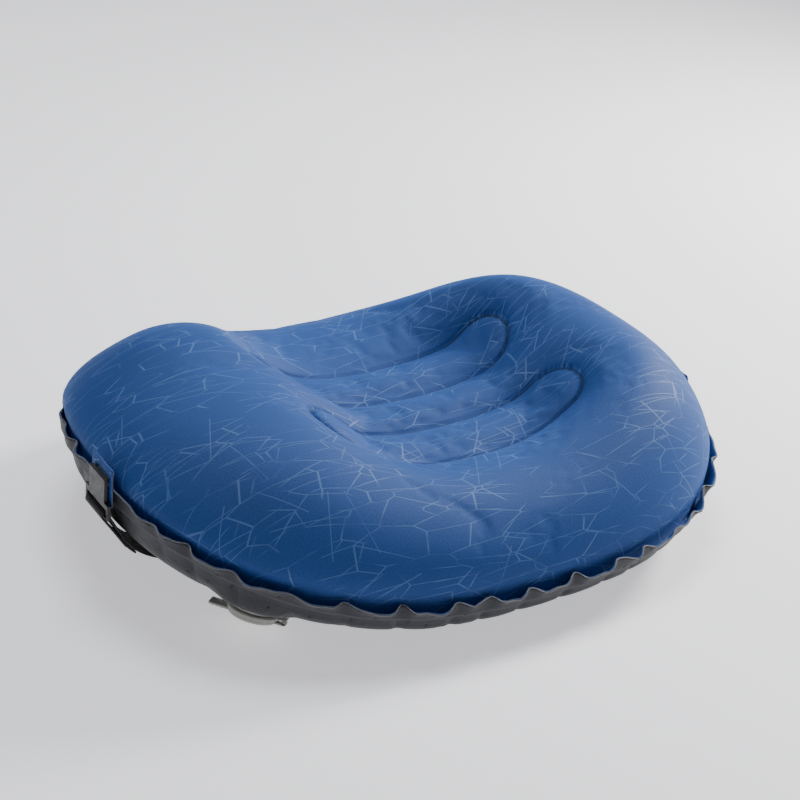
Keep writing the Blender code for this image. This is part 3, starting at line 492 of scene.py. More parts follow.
def sheet_mesh(name, surface, plain, rim_offset, fold, moves, upside_down=False, skip=None):
    """A panel without its thickness: a grid inside the weld and a turned-up strip outside it."""
    x, y = plan_grid(GRID)
    x, y, snapped = snap_to_welds(x, y, GRID)
    z = surface(x, y)
    flat_x, flat_y = developed(x, y, plain)
    seam = station(SEAM_HEIGHT, np.arctan2(y, x)) - rim_offset
    rim_x, rim_y = x.copy(), y.copy()
    dx, dy, dz = moves(x, y)
    x, y, z = x + dx, y + dy, z + dz
    blown = blown_up(surface, moves, upside_down)
    x, y, z = x + blown[..., 0], y + blown[..., 1], z + blown[..., 2]
    x, y = fold_in(x, y, z, seam, *fold)
    if upside_down:
        z = np.maximum(z, 0.0)
    rows, columns = x.shape
    points = [np.stack([x, y, z], -1).reshape(-1, 3)]
    flats = [np.stack([flat_x, flat_y], -1).reshape(-1, 2)]
    edge = boundary_order(x.shape)
    edge_x, edge_y = rim_x.reshape(-1)[edge], rim_y.reshape(-1)[edge]
    edge_flat = flats[0][edge]
    outward = edge_flat / np.linalg.norm(edge_flat, axis=1)[:, None]
    for k, row in enumerate(rim_strip(edge_x, edge_y, rim_offset)):
        points.append(np.stack(np.broadcast_arrays(*row), -1))
        flats.append(edge_flat + outward * RIM_FLAT_STEP * (k + 1))
    faces = []
    near = snapped.reshape(-1)
    for j in range(rows - 1):
        for i in range(columns - 1):
            a, b = j * columns + i, j * columns + i + 1
            c, d = b + columns, a + columns
            if near[a] and near[c] and not near[b] and not near[d]:
                faces += [(a, b, c), (a, c, d)]
            elif near[b] and near[d] and not near[a] and not near[c]:
                faces += [(a, b, d), (b, c, d)]
            else:
                faces.append((a, b, c, d))
    count, base = len(edge), rows * columns
    loops = [edge] + [list(range(base + k * count, base + (k + 1) * count)) for k in range(RIM_ROWS + 2)]
    for inner, outer in zip(loops, loops[1:]):
        for i in range(count):
            j = (i + 1) % count
            faces.append((inner[i], outer[i], outer[j], inner[j]))
    points = np.concatenate(points)
    if skip is not None:
        keep = ~skip(points)
        faces = [f for f in faces if all(keep[v] for v in f)]
    if upside_down:
        faces = [f[::-1] for f in faces]
    mesh = bpy.data.meshes.new(name)
    mesh.from_pydata(points.tolist(), [], faces)
    flat = mesh.attributes.new("fabric", "FLOAT_VECTOR", "POINT")
    values = np.zeros((len(points), 3), np.float32)
    values[:, :2] = np.concatenate(flats)
    flat.data.foreach_set("vector", values.reshape(-1))
    used = bmesh.new()
    used.from_mesh(mesh)
    bmesh.ops.delete(used, geom=[v for v in used.verts if not v.link_faces], context="VERTS")
    used.to_mesh(mesh)
    used.free()
    mesh.shade_smooth()
    return mesh


# ---- materials -------------------------------------------------------------------------------------

class Shader:
    """Short calls for making a node material."""

    def __init__(self, name):
        self.material = bpy.data.materials.new(name)
        self.material.use_nodes = True
        self.tree = self.material.node_tree
        self.shader = self.tree.nodes["Principled BSDF"]

    def node(self, kind, inputs=(), **settings):
        made = self.tree.nodes.new("ShaderNode" + kind)
        for key, value in settings.items():
            setattr(made, key, value)
        for key, value in dict(inputs).items():
            self.put(made, key, value)
        return made

    def put(self, node, key, value):
        if isinstance(value, bpy.types.NodeSocket):
            self.tree.links.new(value, node.inputs[key])
        else:
            node.inputs[key].default_value = value

    def maths(self, operation, first, second=0.0, third=0.0, clamp=False):
        return self.node("Math", {0: first, 1: second, 2: third}, operation=operation, use_clamp=clamp).outputs[0]

    def ramp(self, value, low, high, out_low=0.0, out_high=1.0):
        return self.node("MapRange", {"Value": value, "From Min": low, "From Max": high, "To Min": out_low,
                                      "To Max": out_high}, interpolation_type="SMOOTHSTEP").outputs["Result"]

    def mix(self, share, first, second):
        made = self.node("Mix", (), data_type="RGBA")
        self.put(made, 0, share)
        self.put(made, 6, first)
        self.put(made, 7, second)
        return made.outputs[2]

    def noise(self, vector, scale, detail=2.0, roughness=0.5, output="Fac"):
        return self.node("TexNoise", {"Vector": vector, "Scale": scale, "Detail": detail,
                                      "Roughness": roughness}).outputs[output]

    def moved(self, vector, turn=0.0, scale=(1, 1, 1), shift=(0, 0, 0)):
        return self.node("Mapping", {"Vector": vector, "Location": shift, "Rotation": (0, 0, turn),
                                     "Scale": scale}).outputs[0]

    def bump(self, height, strength, distance, normal=None):
        made = self.node("Bump", {"Height": height, "Strength": strength, "Distance": distance})
        if normal is not None:
            self.put(made, "Normal", normal)
        return made.outputs[0]

    def finish(self, **values):
        for key, value in values.items():
            self.put(self.shader, key.replace("_", " "), value)
        return self.material

    def fabric_place(self):
        return self.node("Attribute", attribute_name="fabric").outputs["Vector"]

    def object_place(self):
        return self.node("TexCoord").outputs["Object"]


def rgb(red, green, blue):
    """A display colour as a linear one."""
    shares = (red / 255, green / 255, blue / 255)
    return (*(c / 12.92 if c <= 0.04045 else ((c + 0.055) / 1.055) ** 2.4 for c in shares), 1.0)


# The crackle print's layers: how far each is turned, the size of its shards, and its seed.
PRINT_LAYERS = ((0.35, (0.042, 0.0120), 3.1), (1.45, (0.046, 0.0125), 7.7), (-0.80, (0.040, 0.0115), 12.9))
STICK_SIZE, STICK_SEED = 0.032, 4.2
DIMPLE_PITCH = 0.0135


def shard_lines(s, place, turn, size, seed):
    """Straight thin lines that meet at sharp corners, present in some areas and faded out in others."""
    moved = s.moved(place, turn, (1 / size[0], 1 / size[1], 1.0), (seed, seed * 0.37, 0.0))
    edge = s.node("TexVoronoi", {"Vector": moved, "Scale": 1.0, "Randomness": 1.0},
                  voronoi_dimensions="2D", feature="DISTANCE_TO_EDGE").outputs["Distance"]
    line = s.ramp(edge, 0.006, 0.022, 1.0, 0.0)
    patch = s.noise(s.moved(place, 0.0, (1, 1, 1), (seed * 1.7, seed, 0.3)), 26.0, 1.0)
    return s.maths("MULTIPLY", line, s.ramp(patch, 0.45, 0.56))


def stick_lines(s, place, size, seed):
    """A straight line across each cell of a rough grid, each at its own angle."""
    moved = s.moved(place, 0.3, (1 / size, 1 / size, 1.0), (seed, seed * 0.61, 0.0))
    cell = s.node("TexVoronoi", {"Vector": moved, "Scale": 1.0, "Randomness": 1.0}, voronoi_dimensions="2D",
                  feature="F1")
    away = s.node("SeparateXYZ", {0: s.node("VectorMath", {0: moved, 1: cell.outputs["Position"]},
                                            operation="SUBTRACT").outputs[0]}).outputs
    shade = s.node("SeparateColor", {0: cell.outputs["Color"]}).outputs
    turn = s.maths("MULTIPLY", shade[0], 6.283)
    off = s.maths("ADD", s.maths("MULTIPLY", away[0], s.maths("COSINE", turn)),
                  s.maths("MULTIPLY", away[1], s.maths("SINE", turn)))
    line = s.ramp(s.maths("ABSOLUTE", off), 0.005, 0.016, 1.0, 0.0)
    return s.maths("MULTIPLY", line, s.maths("GREATER_THAN", shade[1], 0.60))


def weld_crease_shade_and_strip(s):
    """Where the tie bands are welded on: 1 on the line itself, used for the painted shade in the weld's crease, and 1
    falling away over the pressed strip.
    """
    parts = s.node("SeparateXYZ", {0: s.object_place()}).outputs
    reach = WELD_HALF - WELD_RADIUS
    along = s.maths("SUBTRACT", parts[0], WELD_X)
    share = s.maths("MULTIPLY", along, 1 / WELD_HALF)
    bend = s.maths("MULTIPLY_ADD", s.maths("MULTIPLY", share, share), 2 * WELD_BEND, -WELD_BEND)
    nearest = None
    for middle in WELD_MIDDLES:
        dx = s.maths("MAXIMUM", s.maths("SUBTRACT", s.maths("ABSOLUTE", along), reach), 0.0)
        dy = s.maths("SUBTRACT", s.maths("SUBTRACT", parts[1], middle), bend)
        far = s.maths("SQRT", s.maths("ADD", s.maths("MULTIPLY", dx, dx), s.maths("MULTIPLY", dy, dy)))
        off = s.maths("ABSOLUTE", s.maths("SUBTRACT", far, WELD_RADIUS))
        nearest = off if nearest is None else s.maths("MINIMUM", nearest, off)
    return s.ramp(nearest, 0.0002, 0.0014, 1.0, 0.0), s.ramp(nearest, 0.0, 0.0024, 1.0, 0.0)


def blue_fabric():
    s = Shader("blue stretch fabric")
    place = s.fabric_place()
    lines = None
    for turn, size, seed in PRINT_LAYERS:
        layer = shard_lines(s, place, turn, size, seed)
        lines = layer if lines is None else s.maths("MAXIMUM", lines, layer)
    lines = s.maths("MAXIMUM", lines, s.maths("MULTIPLY", stick_lines(s, place, STICK_SIZE, STICK_SEED), 0.8))
    lines = s.maths("MULTIPLY", lines, s.ramp(s.noise(place, 42.0, 2.0), 0.30, 0.55, 0.25, 1.0))
    heather = s.noise(place, 900.0, 2.0, 0.7)
    cloud = s.noise(place, 30.0, 3.0)
    cloth = s.mix(s.ramp(heather, 0.3, 0.7), rgb(37, 74, 140), rgb(47, 87, 157))
    cloth = s.mix(s.ramp(cloud, 0.35, 0.7, 0.0, 0.22), cloth, rgb(42, 76, 136))
    colour = s.mix(s.maths("MULTIPLY", lines, 0.48), cloth, rgb(112, 150, 208))
    weld, strip = weld_crease_shade_and_strip(s)
    # Painted shade: the crease along each weld line is darkened to deep navy in the colour itself.
    colour = s.mix(s.maths("MULTIPLY", weld, 0.90), colour, rgb(15, 38, 80))
    knit = s.maths("MULTIPLY", *[
        s.node("TexWave", {"Vector": s.moved(place, turn), "Scale": 330.0, "Distortion": 1.4, "Detail": 2.0,
                           "Detail Scale": 2.0}, wave_type="BANDS").outputs["Fac"] for turn in (0.785, -0.785)])
    normal = s.bump(knit, 0.22, 0.0003)
    normal = s.bump(s.noise(place, 420.0, 3.0), 0.12, 0.0005, normal)
    normal = s.bump(s.noise(place, 22.0, 2.0), 0.10, 0.0030, normal)
    normal = s.bump(s.maths("SUBTRACT", 1.0, strip), 0.6, 0.0009, normal)
    rough = s.ramp(lines, 0.0, 1.0, 0.68, 0.50)
    return s.finish(Base_Color=colour, Roughness=rough, Normal=normal, Sheen_Weight=0.16, Sheen_Roughness=0.45,
                    Sheen_Tint=rgb(110, 165, 250), Specular_IOR_Level=0.25)


def grey_fabric(name, dimples=True, light=rgb(55, 56, 61), dark=rgb(45, 46, 51)):
    s = Shader(name)
    place = s.fabric_place()
    grain = s.noise(place, 700.0, 2.0, 0.65)
    cloud = s.noise(place, 26.0, 3.0)
    cloth = s.mix(s.ramp(grain, 0.3, 0.7), dark, light)
    cloth = s.mix(s.ramp(cloud, 0.35, 0.7, 0.0, 0.30), cloth, rgb(52, 51, 56))
    weave = s.maths("MULTIPLY", *[
        s.node("TexWave", {"Vector": place, "Scale": 420.0, "Distortion": 0.6},
               bands_direction=way).outputs["Fac"] for way in "XY"])
    normal = s.bump(weave, 0.25, 0.0003)
    normal = s.bump(s.noise(place, 40.0, 3.0), 0.12, 0.0020, normal)
    if dimples:
        scale = (1 / DIMPLE_PITCH, 1 / DIMPLE_PITCH, 1.0)
        parts = s.node("SeparateXYZ", {"Vector": s.moved(place, 0.0, scale)}).outputs
        row = s.maths("FLOOR", parts[1])
        across = s.maths("FRACT", s.maths("ADD", parts[0], s.maths("MULTIPLY", row, 0.5)))
        across = s.maths("SUBTRACT", across, 0.5)
        along = s.maths("SUBTRACT", s.maths("FRACT", parts[1]), 0.5)
        spot = s.maths("SQRT", s.maths("ADD", s.maths("MULTIPLY", across, across),
                                       s.maths("MULTIPLY", along, along)))
        dot = s.ramp(spot, 0.055, 0.080, 1.0, 0.0)
        hollow = s.ramp(spot, 0.04, 0.20, 1.0, 0.0)
        cloth = s.mix(dot, cloth, rgb(10, 10, 12))
        normal = s.bump(s.maths("SUBTRACT", 1.0, hollow), 0.35, 0.0009, normal)
    return s.finish(Base_Color=cloth, Roughness=0.56, Normal=normal, Sheen_Weight=0.06, Sheen_Roughness=0.5,
                    Specular_IOR_Level=0.25)


def cut_edge(name, base):
    """The light cut edge of a coated fabric, with loose fibres showing."""
    s = Shader(name)
    place = s.object_place()
    fleck = s.noise(place, 1800.0, 2.0, 0.7)
    colour = s.mix(s.ramp(fleck, 0.35, 0.65), base, tuple(min(1.0, c * 1.5) for c in base[:3]) + (1.0,))
    return s.finish(Base_Color=colour, Roughness=0.75, Normal=s.bump(fleck, 0.4, 0.0003))


def webbing(name):
    """Woven tape: ribs across it with a fine twill on them."""
    s = Shader(name)
    place = s.fabric_place()
    ribs = s.node("TexWave", {"Vector": place, "Scale": 260.0, "Distortion": 0.25, "Detail": 1.0},
                  wave_type="BANDS", bands_direction="X").outputs["Fac"]
    yarns = s.node("TexWave", {"Vector": s.moved(place, 0.6), "Scale": 420.0, "Distortion": 0.5},
                   wave_type="BANDS", bands_direction="Y").outputs["Fac"]
    mix = s.maths("MULTIPLY", ribs, s.maths("ADD", s.maths("MULTIPLY", yarns, 0.5), 0.5))
    colour = s.mix(s.ramp(mix, 0.1, 0.9), rgb(13, 13, 15), rgb(38, 38, 41))
    fuzz = s.noise(place, 1400.0, 2.0)
    normal = s.bump(fuzz, 0.2, 0.0002, s.bump(mix, 0.7, 0.0004))
    return s.finish(Base_Color=colour, Roughness=0.78, Normal=normal, Sheen_Weight=0.25, Sheen_Roughness=0.4)


def moulded(name, dark, light, rough, grain=1500.0, depth=0.12, wear=0.0):
    """Moulded plastic: a fine texture, slight mottling, and edges that are a little lighter from use."""
    s = Shader(name)
    place = s.object_place()
    mottle = s.noise(place, 90.0, 3.0)
    colour = s.mix(s.ramp(mottle, 0.3, 0.7), dark, light)
    if wear:
        point = s.node("NewGeometry").outputs["Pointiness"]
        colour = s.mix(s.maths("MULTIPLY", s.ramp(point, 0.505, 0.56), wear), colour,
                       tuple(min(1.0, c * 1.6 + 0.01) for c in light[:3]) + (1.0,))
    normal = s.bump(s.noise(place, grain, 3.0), depth, 0.0003)
    roughness = s.ramp(s.noise(place, 260.0, 3.0), 0.3, 0.7, rough - 0.06, rough + 0.08)
    return s.finish(Base_Color=colour, Roughness=roughness, Normal=normal, Specular_IOR_Level=0.5)


def band_film():
    s = Shader("tie band film")
    place = s.object_place()
    cloud = s.noise(place, 120.0, 3.0)
    colour = s.mix(s.ramp(cloud, 0.3, 0.7), rgb(176, 178, 182), rgb(196, 198, 202))
    return s.finish(Base_Color=colour, Roughness=0.4, Normal=s.bump(s.noise(place, 500.0), 0.2, 0.0004))


def silicone():
    s = Shader("silicone")
    place = s.object_place()
    cloud = s.noise(place, 200.0, 2.0)
    colour = s.mix(cloud, rgb(198, 198, 194), rgb(212, 212, 208))
    return s.finish(Base_Color=colour, Roughness=0.34, Subsurface_Weight=0.15, Subsurface_Scale=0.001,
                    Normal=s.bump(s.noise(place, 900.0), 0.06, 0.0002))


def floor_look():
    s = Shader("pale floor")
    place = s.object_place()
    cloud = s.noise(place, 1.6, 3.0)
    colour = s.mix(s.ramp(cloud, 0.3, 0.7), rgb(236, 236, 239), rgb(240, 240, 242))
    return s.finish(Base_Color=colour, Roughness=0.7, Normal=s.bump(s.noise(place, 90.0), 0.04, 0.001),
                    Emission_Color=rgb(250, 250, 255), Emission_Strength=FLOOR_GLOW)


BLUE = blue_fabric()
GREY = grey_fabric("grey coated fabric")
BLUE_EDGE = cut_edge("cut edge of the blue fabric", rgb(74, 88, 118))
GREY_EDGE = cut_edge("cut edge of the grey fabric", rgb(120, 118, 117))
COATING = grey_fabric("inner coating", dimples=False, light=rgb(112, 118, 130), dark=rgb(96, 102, 116))
ELASTIC = webbing("black stretch webbing")
BLACK_PLASTIC = moulded("black plastic", rgb(17, 17, 18), rgb(26, 26, 27), 0.40, wear=0.35)
VALVE_PLASTIC = moulded("warm grey plastic", rgb(168, 168, 162), rgb(178, 178, 172), 0.42, wear=0.25)
THREAD = moulded("black thread", rgb(16, 16, 18), rgb(34, 34, 37), 0.7, grain=2600.0, depth=0.5)
FILM = band_film()
SILICONE = silicone()


# ---- small helpers ---------------------------------------------------------------------------------

def mesh_from(bm, name, smooth_shading=True):
    """Ends a bmesh. Its faces point outwards."""
    bmesh.ops.recalc_face_normals(bm, faces=bm.faces)
    mesh = bpy.data.meshes.new(name)
    bm.to_mesh(mesh)
    bm.free()
    if smooth_shading:
        mesh.shade_smooth()
    return mesh


def tube_mesh(name, rings):
    """A closed tube through rings of points, each ring with the same number of them."""
    bm = bmesh.new()
    rings = [[bm.verts.new(point) for point in ring] for ring in rings]
    for first, second in zip(rings, rings[1:]):
        for k in range(len(first)):
            n = (k + 1) % len(first)
            bm.faces.new((first[k], first[n], second[n], second[k]))
    bm.faces.new(rings[0])
    bm.faces.new(rings[-1][::-1])
    return mesh_from(bm, name)


def add_object(name, mesh, *looks):
    made = bpy.data.objects.new(name, mesh)
    bpy.context.scene.collection.objects.link(made)
    for look in looks:
        mesh.materials.append(look)
    return made


def apply_modifiers(obj):
    bpy.context.view_layer.update()
    shape = obj.evaluated_get(bpy.context.evaluated_depsgraph_get())
    mesh = bpy.data.meshes.new_from_object(shape, preserve_all_data_layers=True,
                                           depsgraph=bpy.context.evaluated_depsgraph_get())
    obj.modifiers.clear()
    obj.data = mesh
    return obj


def thicken(obj, thickness, offset=-1.0, rim_look=0, back_look=0):
    shell = obj.modifiers.new("thickness", "SOLIDIFY")
    shell.thickness = thickness
    shell.offset = offset
    shell.material_offset_rim = rim_look
    shell.material_offset = back_look
    return obj


def place_attribute(mesh, values):
    flat = mesh.attributes.new("fabric", "FLOAT_VECTOR", "POINT")
    flat.data.foreach_set("vector", np.asarray(values, np.float32).reshape(-1))


def hang(obj, body, slot, *nodes):
    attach(obj, body)
    if nodes:
        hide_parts(*nodes)
    return obj


# ---- panels ----------------------------------------------------------------------------------------

def joint(name):
    return next(j for j in frame["joints"] if j["name"] == name)


valve_z = -Vector(joint("diaphragm_lift")["axis"]).normalized()
valve_y = -Vector(joint("plug_hinge")["axis"]).normalized()
valve_x = valve_y.cross(valve_z).normalized()
valve_origin = Vector(joint("plug_hinge")["pos_m"]) + HINGE_REACH * valve_x - PLUG_HINGE_HEIGHT * valve_z
VALVE = Matrix.Translation(valve_origin) @ Matrix((valve_x, valve_y, valve_z)).transposed().to_4x4()


def overhang(x, y):
    """Moves of the top panel's points out over the rim."""
    angle = np.arctan2(y, x)
    height = top_surface(x, y) - station(SEAM_HEIGHT, angle)
    rise = smooth((height - OVERHANG_START) / (OVERHANG_FULL - OVERHANG_START))
    fall = 1.0 - smooth((height - OVERHANG_FULL) / (OVERHANG_END - OVERHANG_FULL))
    outer = smooth((np.hypot(x, y) / rim_radius(angle) - OVERHANG_FROM) / OVERHANG_FADE)
    move = station(OVERHANG, angle) * rise * fall * outer
    return move * np.cos(angle), move * np.sin(angle), np.zeros(np.shape(x))


def in_valve_frame(points):
    turn = np.array([list(valve_x), list(valve_y), list(valve_z)])
    return (points - np.array(valve_origin)) @ turn.T


def flat_round_valve(x, y):
    """Moves of the bottom panel's points on to the valve base's plane, close round the valve."""
    points = np.stack([x, y, bottom_surface(x, y)], -1)
    local = in_valve_frame(points.reshape(-1, 3))
    far = np.hypot(local[:, 0], local[:, 1])
    share = 1.0 - smooth((far - VALVE_FLAT_RADIUS) / VALVE_FLAT_FADE)
    share *= np.abs(local[:, 2]) < VALVE_FLAT_HEIGHT
    move = (-share * local[:, 2])[:, None] * np.array(valve_z)
    move = move.reshape(*np.shape(x), 3)
    return move[..., 0], move[..., 1], move[..., 2]


def inside_valve(points):
    local = in_valve_frame(points)
    near = np.hypot(local[:, 0], local[:, 1]) < VALVE_HOLE_RADIUS
    return near & (np.abs(local[:, 2]) < VALVE_HOLE_REACH)


def panels():
    mesh = sheet_mesh("top_panel_cloth", top_surface, top_plain, 0.0, (FOLD_DEPTH_TOP, FOLD_REACH_TOP),
                      overhang)
    top = add_object("top_panel_cloth", mesh, BLUE, BLUE_EDGE, COATING)
    thicken(top, FABRIC, rim_look=1, back_look=2)
    apply_modifiers(top)
    hang(top, "root", "blue_fabric", "top_panel")
    mesh = sheet_mesh("bottom_panel_cloth", bottom_surface, bottom_plain, 2 * FABRIC + SHEET_GAP,
                      (FOLD_DEPTH_BOTTOM, FOLD_REACH_BOTTOM), flat_round_valve, upside_down=True,
                      skip=inside_valve)
    bottom = add_object("bottom_panel_cloth", mesh, GREY, GREY_EDGE, COATING)
    thicken(bottom, FABRIC, rim_look=1, back_look=2)
    apply_modifiers(bottom)
    hang(bottom, "root", "grey_fabric", "bottom_panel")


def tie_band(name, middle):
    """The welded wall inside, its top and bottom edges in the panels' welds and vent holes through it."""
    count = BAND_STEPS
    straight, radius = WELD_HALF - WELD_RADIUS, WELD_RADIUS
    perimeter = 4 * straight + 2 * math.pi * radius
    outline = []
    for k in range(count):
        way = perimeter * k / count
        if way < 2 * straight:
            outline.append((WELD_X - straight + way, middle - radius))
        elif way < 2 * straight + math.pi * radius:
            turn = (way - 2 * straight) / radius - math.pi / 2
            outline.append((WELD_X + straight + radius * math.cos(turn), middle + radius * math.sin(turn)))
        elif way < 4 * straight + math.pi * radius:
            outline.append((WELD_X + straight - (way - 2 * straight - math.pi * radius), middle + radius))
        else:
            turn = (way - 4 * straight - math.pi * radius) / radius + math.pi / 2
            outline.append((WELD_X - straight + radius * math.cos(turn), middle + radius * math.sin(turn)))
    rows, verts = BAND_ROWS, []
    for row in range(rows + 1):
        for k, (x, y) in enumerate(outline):
            back = y + weld_bend(x)
            low = float(bottom_surface(x, back)) + FABRIC + BAND_CLEARANCE
            high = float(top_surface(x, back)) - FABRIC - BAND_CLEARANCE
            bow = BAND_BOW * math.sin(math.pi * row / rows)
            dx, dy = x - np.clip(x, WELD_X - straight, WELD_X + straight), y - middle
            verts.append((x - dx / radius * bow, back - dy / radius * bow, low + (high - low) * row / rows))
    faces = []
    for row in range(rows):
        for k in range(count):
            n = (k + 1) % count
            x, _ = outline[k]
            near = any(abs(x - WELD_X - j * VENT_SPACING) < VENT_HALF for j in (-1, 0, 1))
            vent = near and VENT_ROWS[0] <= row < VENT_ROWS[1]
            if not vent:
                faces.append((row * count + k, row * count + n, (row + 1) * count + n, (row + 1) * count + k))
    mesh = bpy.data.meshes.new(name)
    mesh.from_pydata(verts, [], faces)
    mesh.shade_smooth()
    made = add_object(name + "_film", mesh, FILM)
    thicken(made, BAND_FILM, offset=0.0)
    apply_modifiers(made)
    hang(made, "root", "band_film", name)


# ---- strap -----------------------------------------------------------------------------------------

STRAP_ANGLE = math.atan2(STRAP_Y, HALF_LENGTH)
LOBE_CENTRE = float(rim_radius(STRAP_ANGLE)) - LOBE_INSET
BAR_X = TAB_FACE + HOOK_DEPTH
LEFT_BAR_Z = float(station(SEAM_HEIGHT, math.atan2(STRAP_Y, -HALF_LENGTH))) + HOOK_BAR_HEIGHT
RIGHT_BAR_Z = float(station(SEAM_HEIGHT, STRAP_ANGLE)) + HOOK_BAR_HEIGHT
RUN_Z = float(station(LOBE_HEIGHT, STRAP_ANGLE)) - STRAP_BELOW_LOBE
SLIDER_BAR_Z = RUN_Z - WEBBING_THICK / 2 - STRAP_GAP - WEBBING_THICK - STRAP_GAP - SLIDER_BAR_RADIUS


def even_path(points, step):
    """The same line with its points a fixed way apart, rounded slightly at its corners."""
    points = np.array(points, float)
    way = np.concatenate([[0.0], np.cumsum(np.linalg.norm(np.diff(points, axis=0), axis=1))])
    count = max(2, int(round(way[-1] / step)))
    at = np.linspace(0.0, way[-1], count + 1)
    return np.stack([np.interp(at, way, points[:, k]) for k in range(points.shape[1])], -1), at


def path_normals(line):
    tangent = np.gradient(line, axis=0)
    tangent /= np.linalg.norm(tangent, axis=1)[:, None]
    return np.stack([-tangent[:, 1], tangent[:, 0]], -1)


def tape(name, path, step=TAPE_STEP):
    """The strap's webbing along (x, z) points, with rounded selvedges."""
    line, way = even_path(path, step)
    half_width, half = WEBBING_HALF, WEBBING_THICK / 2
    section = []
    for side in (1, -1):
        for k in range(5):
            turn = -math.pi / 2 + math.pi * k / 4
            across = half_width - half * SELVEDGE * (1.0 - math.cos(turn))
            section.append((side * across, side * half * math.sin(turn)))
        for k in range(1, 6):
            section.append((side * (half_width - half) * (1 - k / 3), side * half))
    verts, flats = [], []
    for (x, z), (nx, nz), w in zip(line, path_normals(line), way):
        for across, up in section:
            verts.append((x + nx * up, STRAP_Y + across, z + nz * up))
            flats.append((w, across, up))
    size = len(section)
    mesh = tube_mesh(name, [verts[k:k + size] for k in range(0, len(verts), size)])
    mesh.set_sharp_from_angle(angle=math.radians(60))
    place_attribute(mesh, flats)
    return add_object(name, mesh, ELASTIC)


def lobe_point(side, turn, below):
    """A point outside the underside of an end lobe, and the way out of the lobe there."""
    lobe = RUN_Z + STRAP_BELOW_LOBE
    seam = float(station(SEAM_HEIGHT, math.atan2(STRAP_Y, side * HALF_LENGTH)))
    drop = seam - SEAM_DROP - lobe
    way = Vector((drop * math.cos(turn), -LOBE_INSET * math.sin(turn))).normalized()
    clear = STRAP_OUTSIDE_LOBE + (STRAP_BELOW_LOBE - STRAP_OUTSIDE_LOBE) * math.sin(turn) + below
    return (LOBE_CENTRE + LOBE_INSET * math.cos(turn) + way.x * clear,
            lobe + drop * (1.0 - math.sin(turn)) + way.y * clear)


def lobe_curve(side, below=0.0, last=math.pi / 2, steps=32):
    return [lobe_point(side, turn, below) for turn in np.linspace(STRAP_MEETS_LOBE, last, steps + 1)]


def loop_round(x, z, radius, first, last, steps):
    return [(x + radius * math.cos(t), z + radius * math.sin(t)) for t in np.linspace(first, last, steps + 1)[1:-1]]


def round_bar(bar_z, first, last):
    return loop_round(BAR_X, bar_z, LOOP_RADIUS, math.radians(first), math.radians(last), 20)


def strap():
    left = lobe_curve(-1, LAYER_PITCH, SEWN_ANGLE, 8)[::-1] + round_bar(LEFT_BAR_Z, -60, 220) + lobe_curve(-1)
    right = lobe_curve(1)[::-1] + round_bar(RIGHT_BAR_Z, 220, -60) + lobe_curve(1, LAYER_PITCH)
    right += [(RETURN_END, RUN_Z - LAYER_PITCH)]
    made = tape("strap_main_webbing", [(-x, z) for x, z in left] + right)
    hang(made, "root", "webbing", "strap_main")
    start = SLIDER_X + END_LOOP_LENGTH + 2 * STRAP_GAP
    end = RETURN_END - 2 * STRAP_GAP
    slack = tape("strap_slack_webbing", [(start, SLIDER_BAR_Z + WEBBING_THICK / 2 + STRAP_GAP),
                                         (end, RUN_Z - LAYER_PITCH)])
    hang(slack, "root", "webbing", "strap_slack")
    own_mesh(slack)
    half = WEBBING_THICK / 2 + STRAP_GAP
    neck, spread = END_LOOP_LENGTH * END_LOOP_NECK, half + END_LOOP_SPREAD
    path = [(END_LOOP_LENGTH, half), (neck, spread)]
    path += loop_round(0.0, 0.0, END_LOOP_RADIUS, math.radians(65), math.radians(295), 18)
    path += [(neck, -spread), (END_LOOP_LENGTH, -half)]
    loop = tape("strap_end_loop_webbing", [(SLIDER_X + x, SLIDER_BAR_Z + z) for x, z in path], END_LOOP_STEP)
    hang(loop, "slider", "webbing", "strap_end_loop")


def stitches(name, origin, across, along, out):
    """A bar of zigzag stitches standing on a tape."""
    points = []
    for k in range(2 * TACK_TURNS + 1):
        place = origin + along * (TACK_HALF_LENGTH * (k / TACK_TURNS - 1.0))
        side = across * (TACK_HALF_WIDTH if k % 2 else -TACK_HALF_WIDTH)
        points += [place + side * share + out * (TACK_RADIUS * (0.6 + 0.5 * (1 - share)))
                   for share in (0.35, 1.0)] if k else [place + side]
    rings = []
    for i, point in enumerate(points):
        ahead = (points[min(i + 1, len(points) - 1)] - points[max(i - 1, 0)]).normalized()
        flat = ahead.cross(out).normalized()
        rise = flat.cross(ahead).normalized()
        turns = [2 * math.pi * k / TACK_SIDES for k in range(TACK_SIDES)]
        rings.append([point + (flat * math.cos(t) + rise * math.sin(t)) * TACK_RADIUS for t in turns])
    return add_object(name, tube_mesh(name, rings), THREAD)


def bartacks():
    turn = (STRAP_MEETS_LOBE + SEWN_ANGLE) / 2
    inner, outer = Vector(lobe_point(-1, turn, 0.0)), Vector(lobe_point(-1, turn, LAYER_PITCH))
    normal = (outer - inner).normalized()
    outer += normal * (WEBBING_THICK / 2 + TACK_LIFT)
    point, normal = Vector((outer.x, 0, outer.y)), Vector((normal.x, 0, normal.y))
    point, normal = Vector((-point.x, STRAP_Y, point.z)), Vector((-normal.x, 0, normal.z))
    side = Vector((0, 1, 0))
    made = stitches("bartack_left_thread", point, normal.cross(side), side, normal)
    hang(made, "root", "thread", "bartack_left")
    low = SLIDER_BAR_Z - WEBBING_THICK - STRAP_GAP
    point = Vector((SLIDER_X + END_LOOP_LENGTH - TACK_FROM_END, STRAP_Y, low))
    made = stitches("bartack_slider_thread", point, Vector((1, 0, 0)), side, Vector((0, 0, -1)))
    hang(made, "slider", "thread", "bartack_slider")


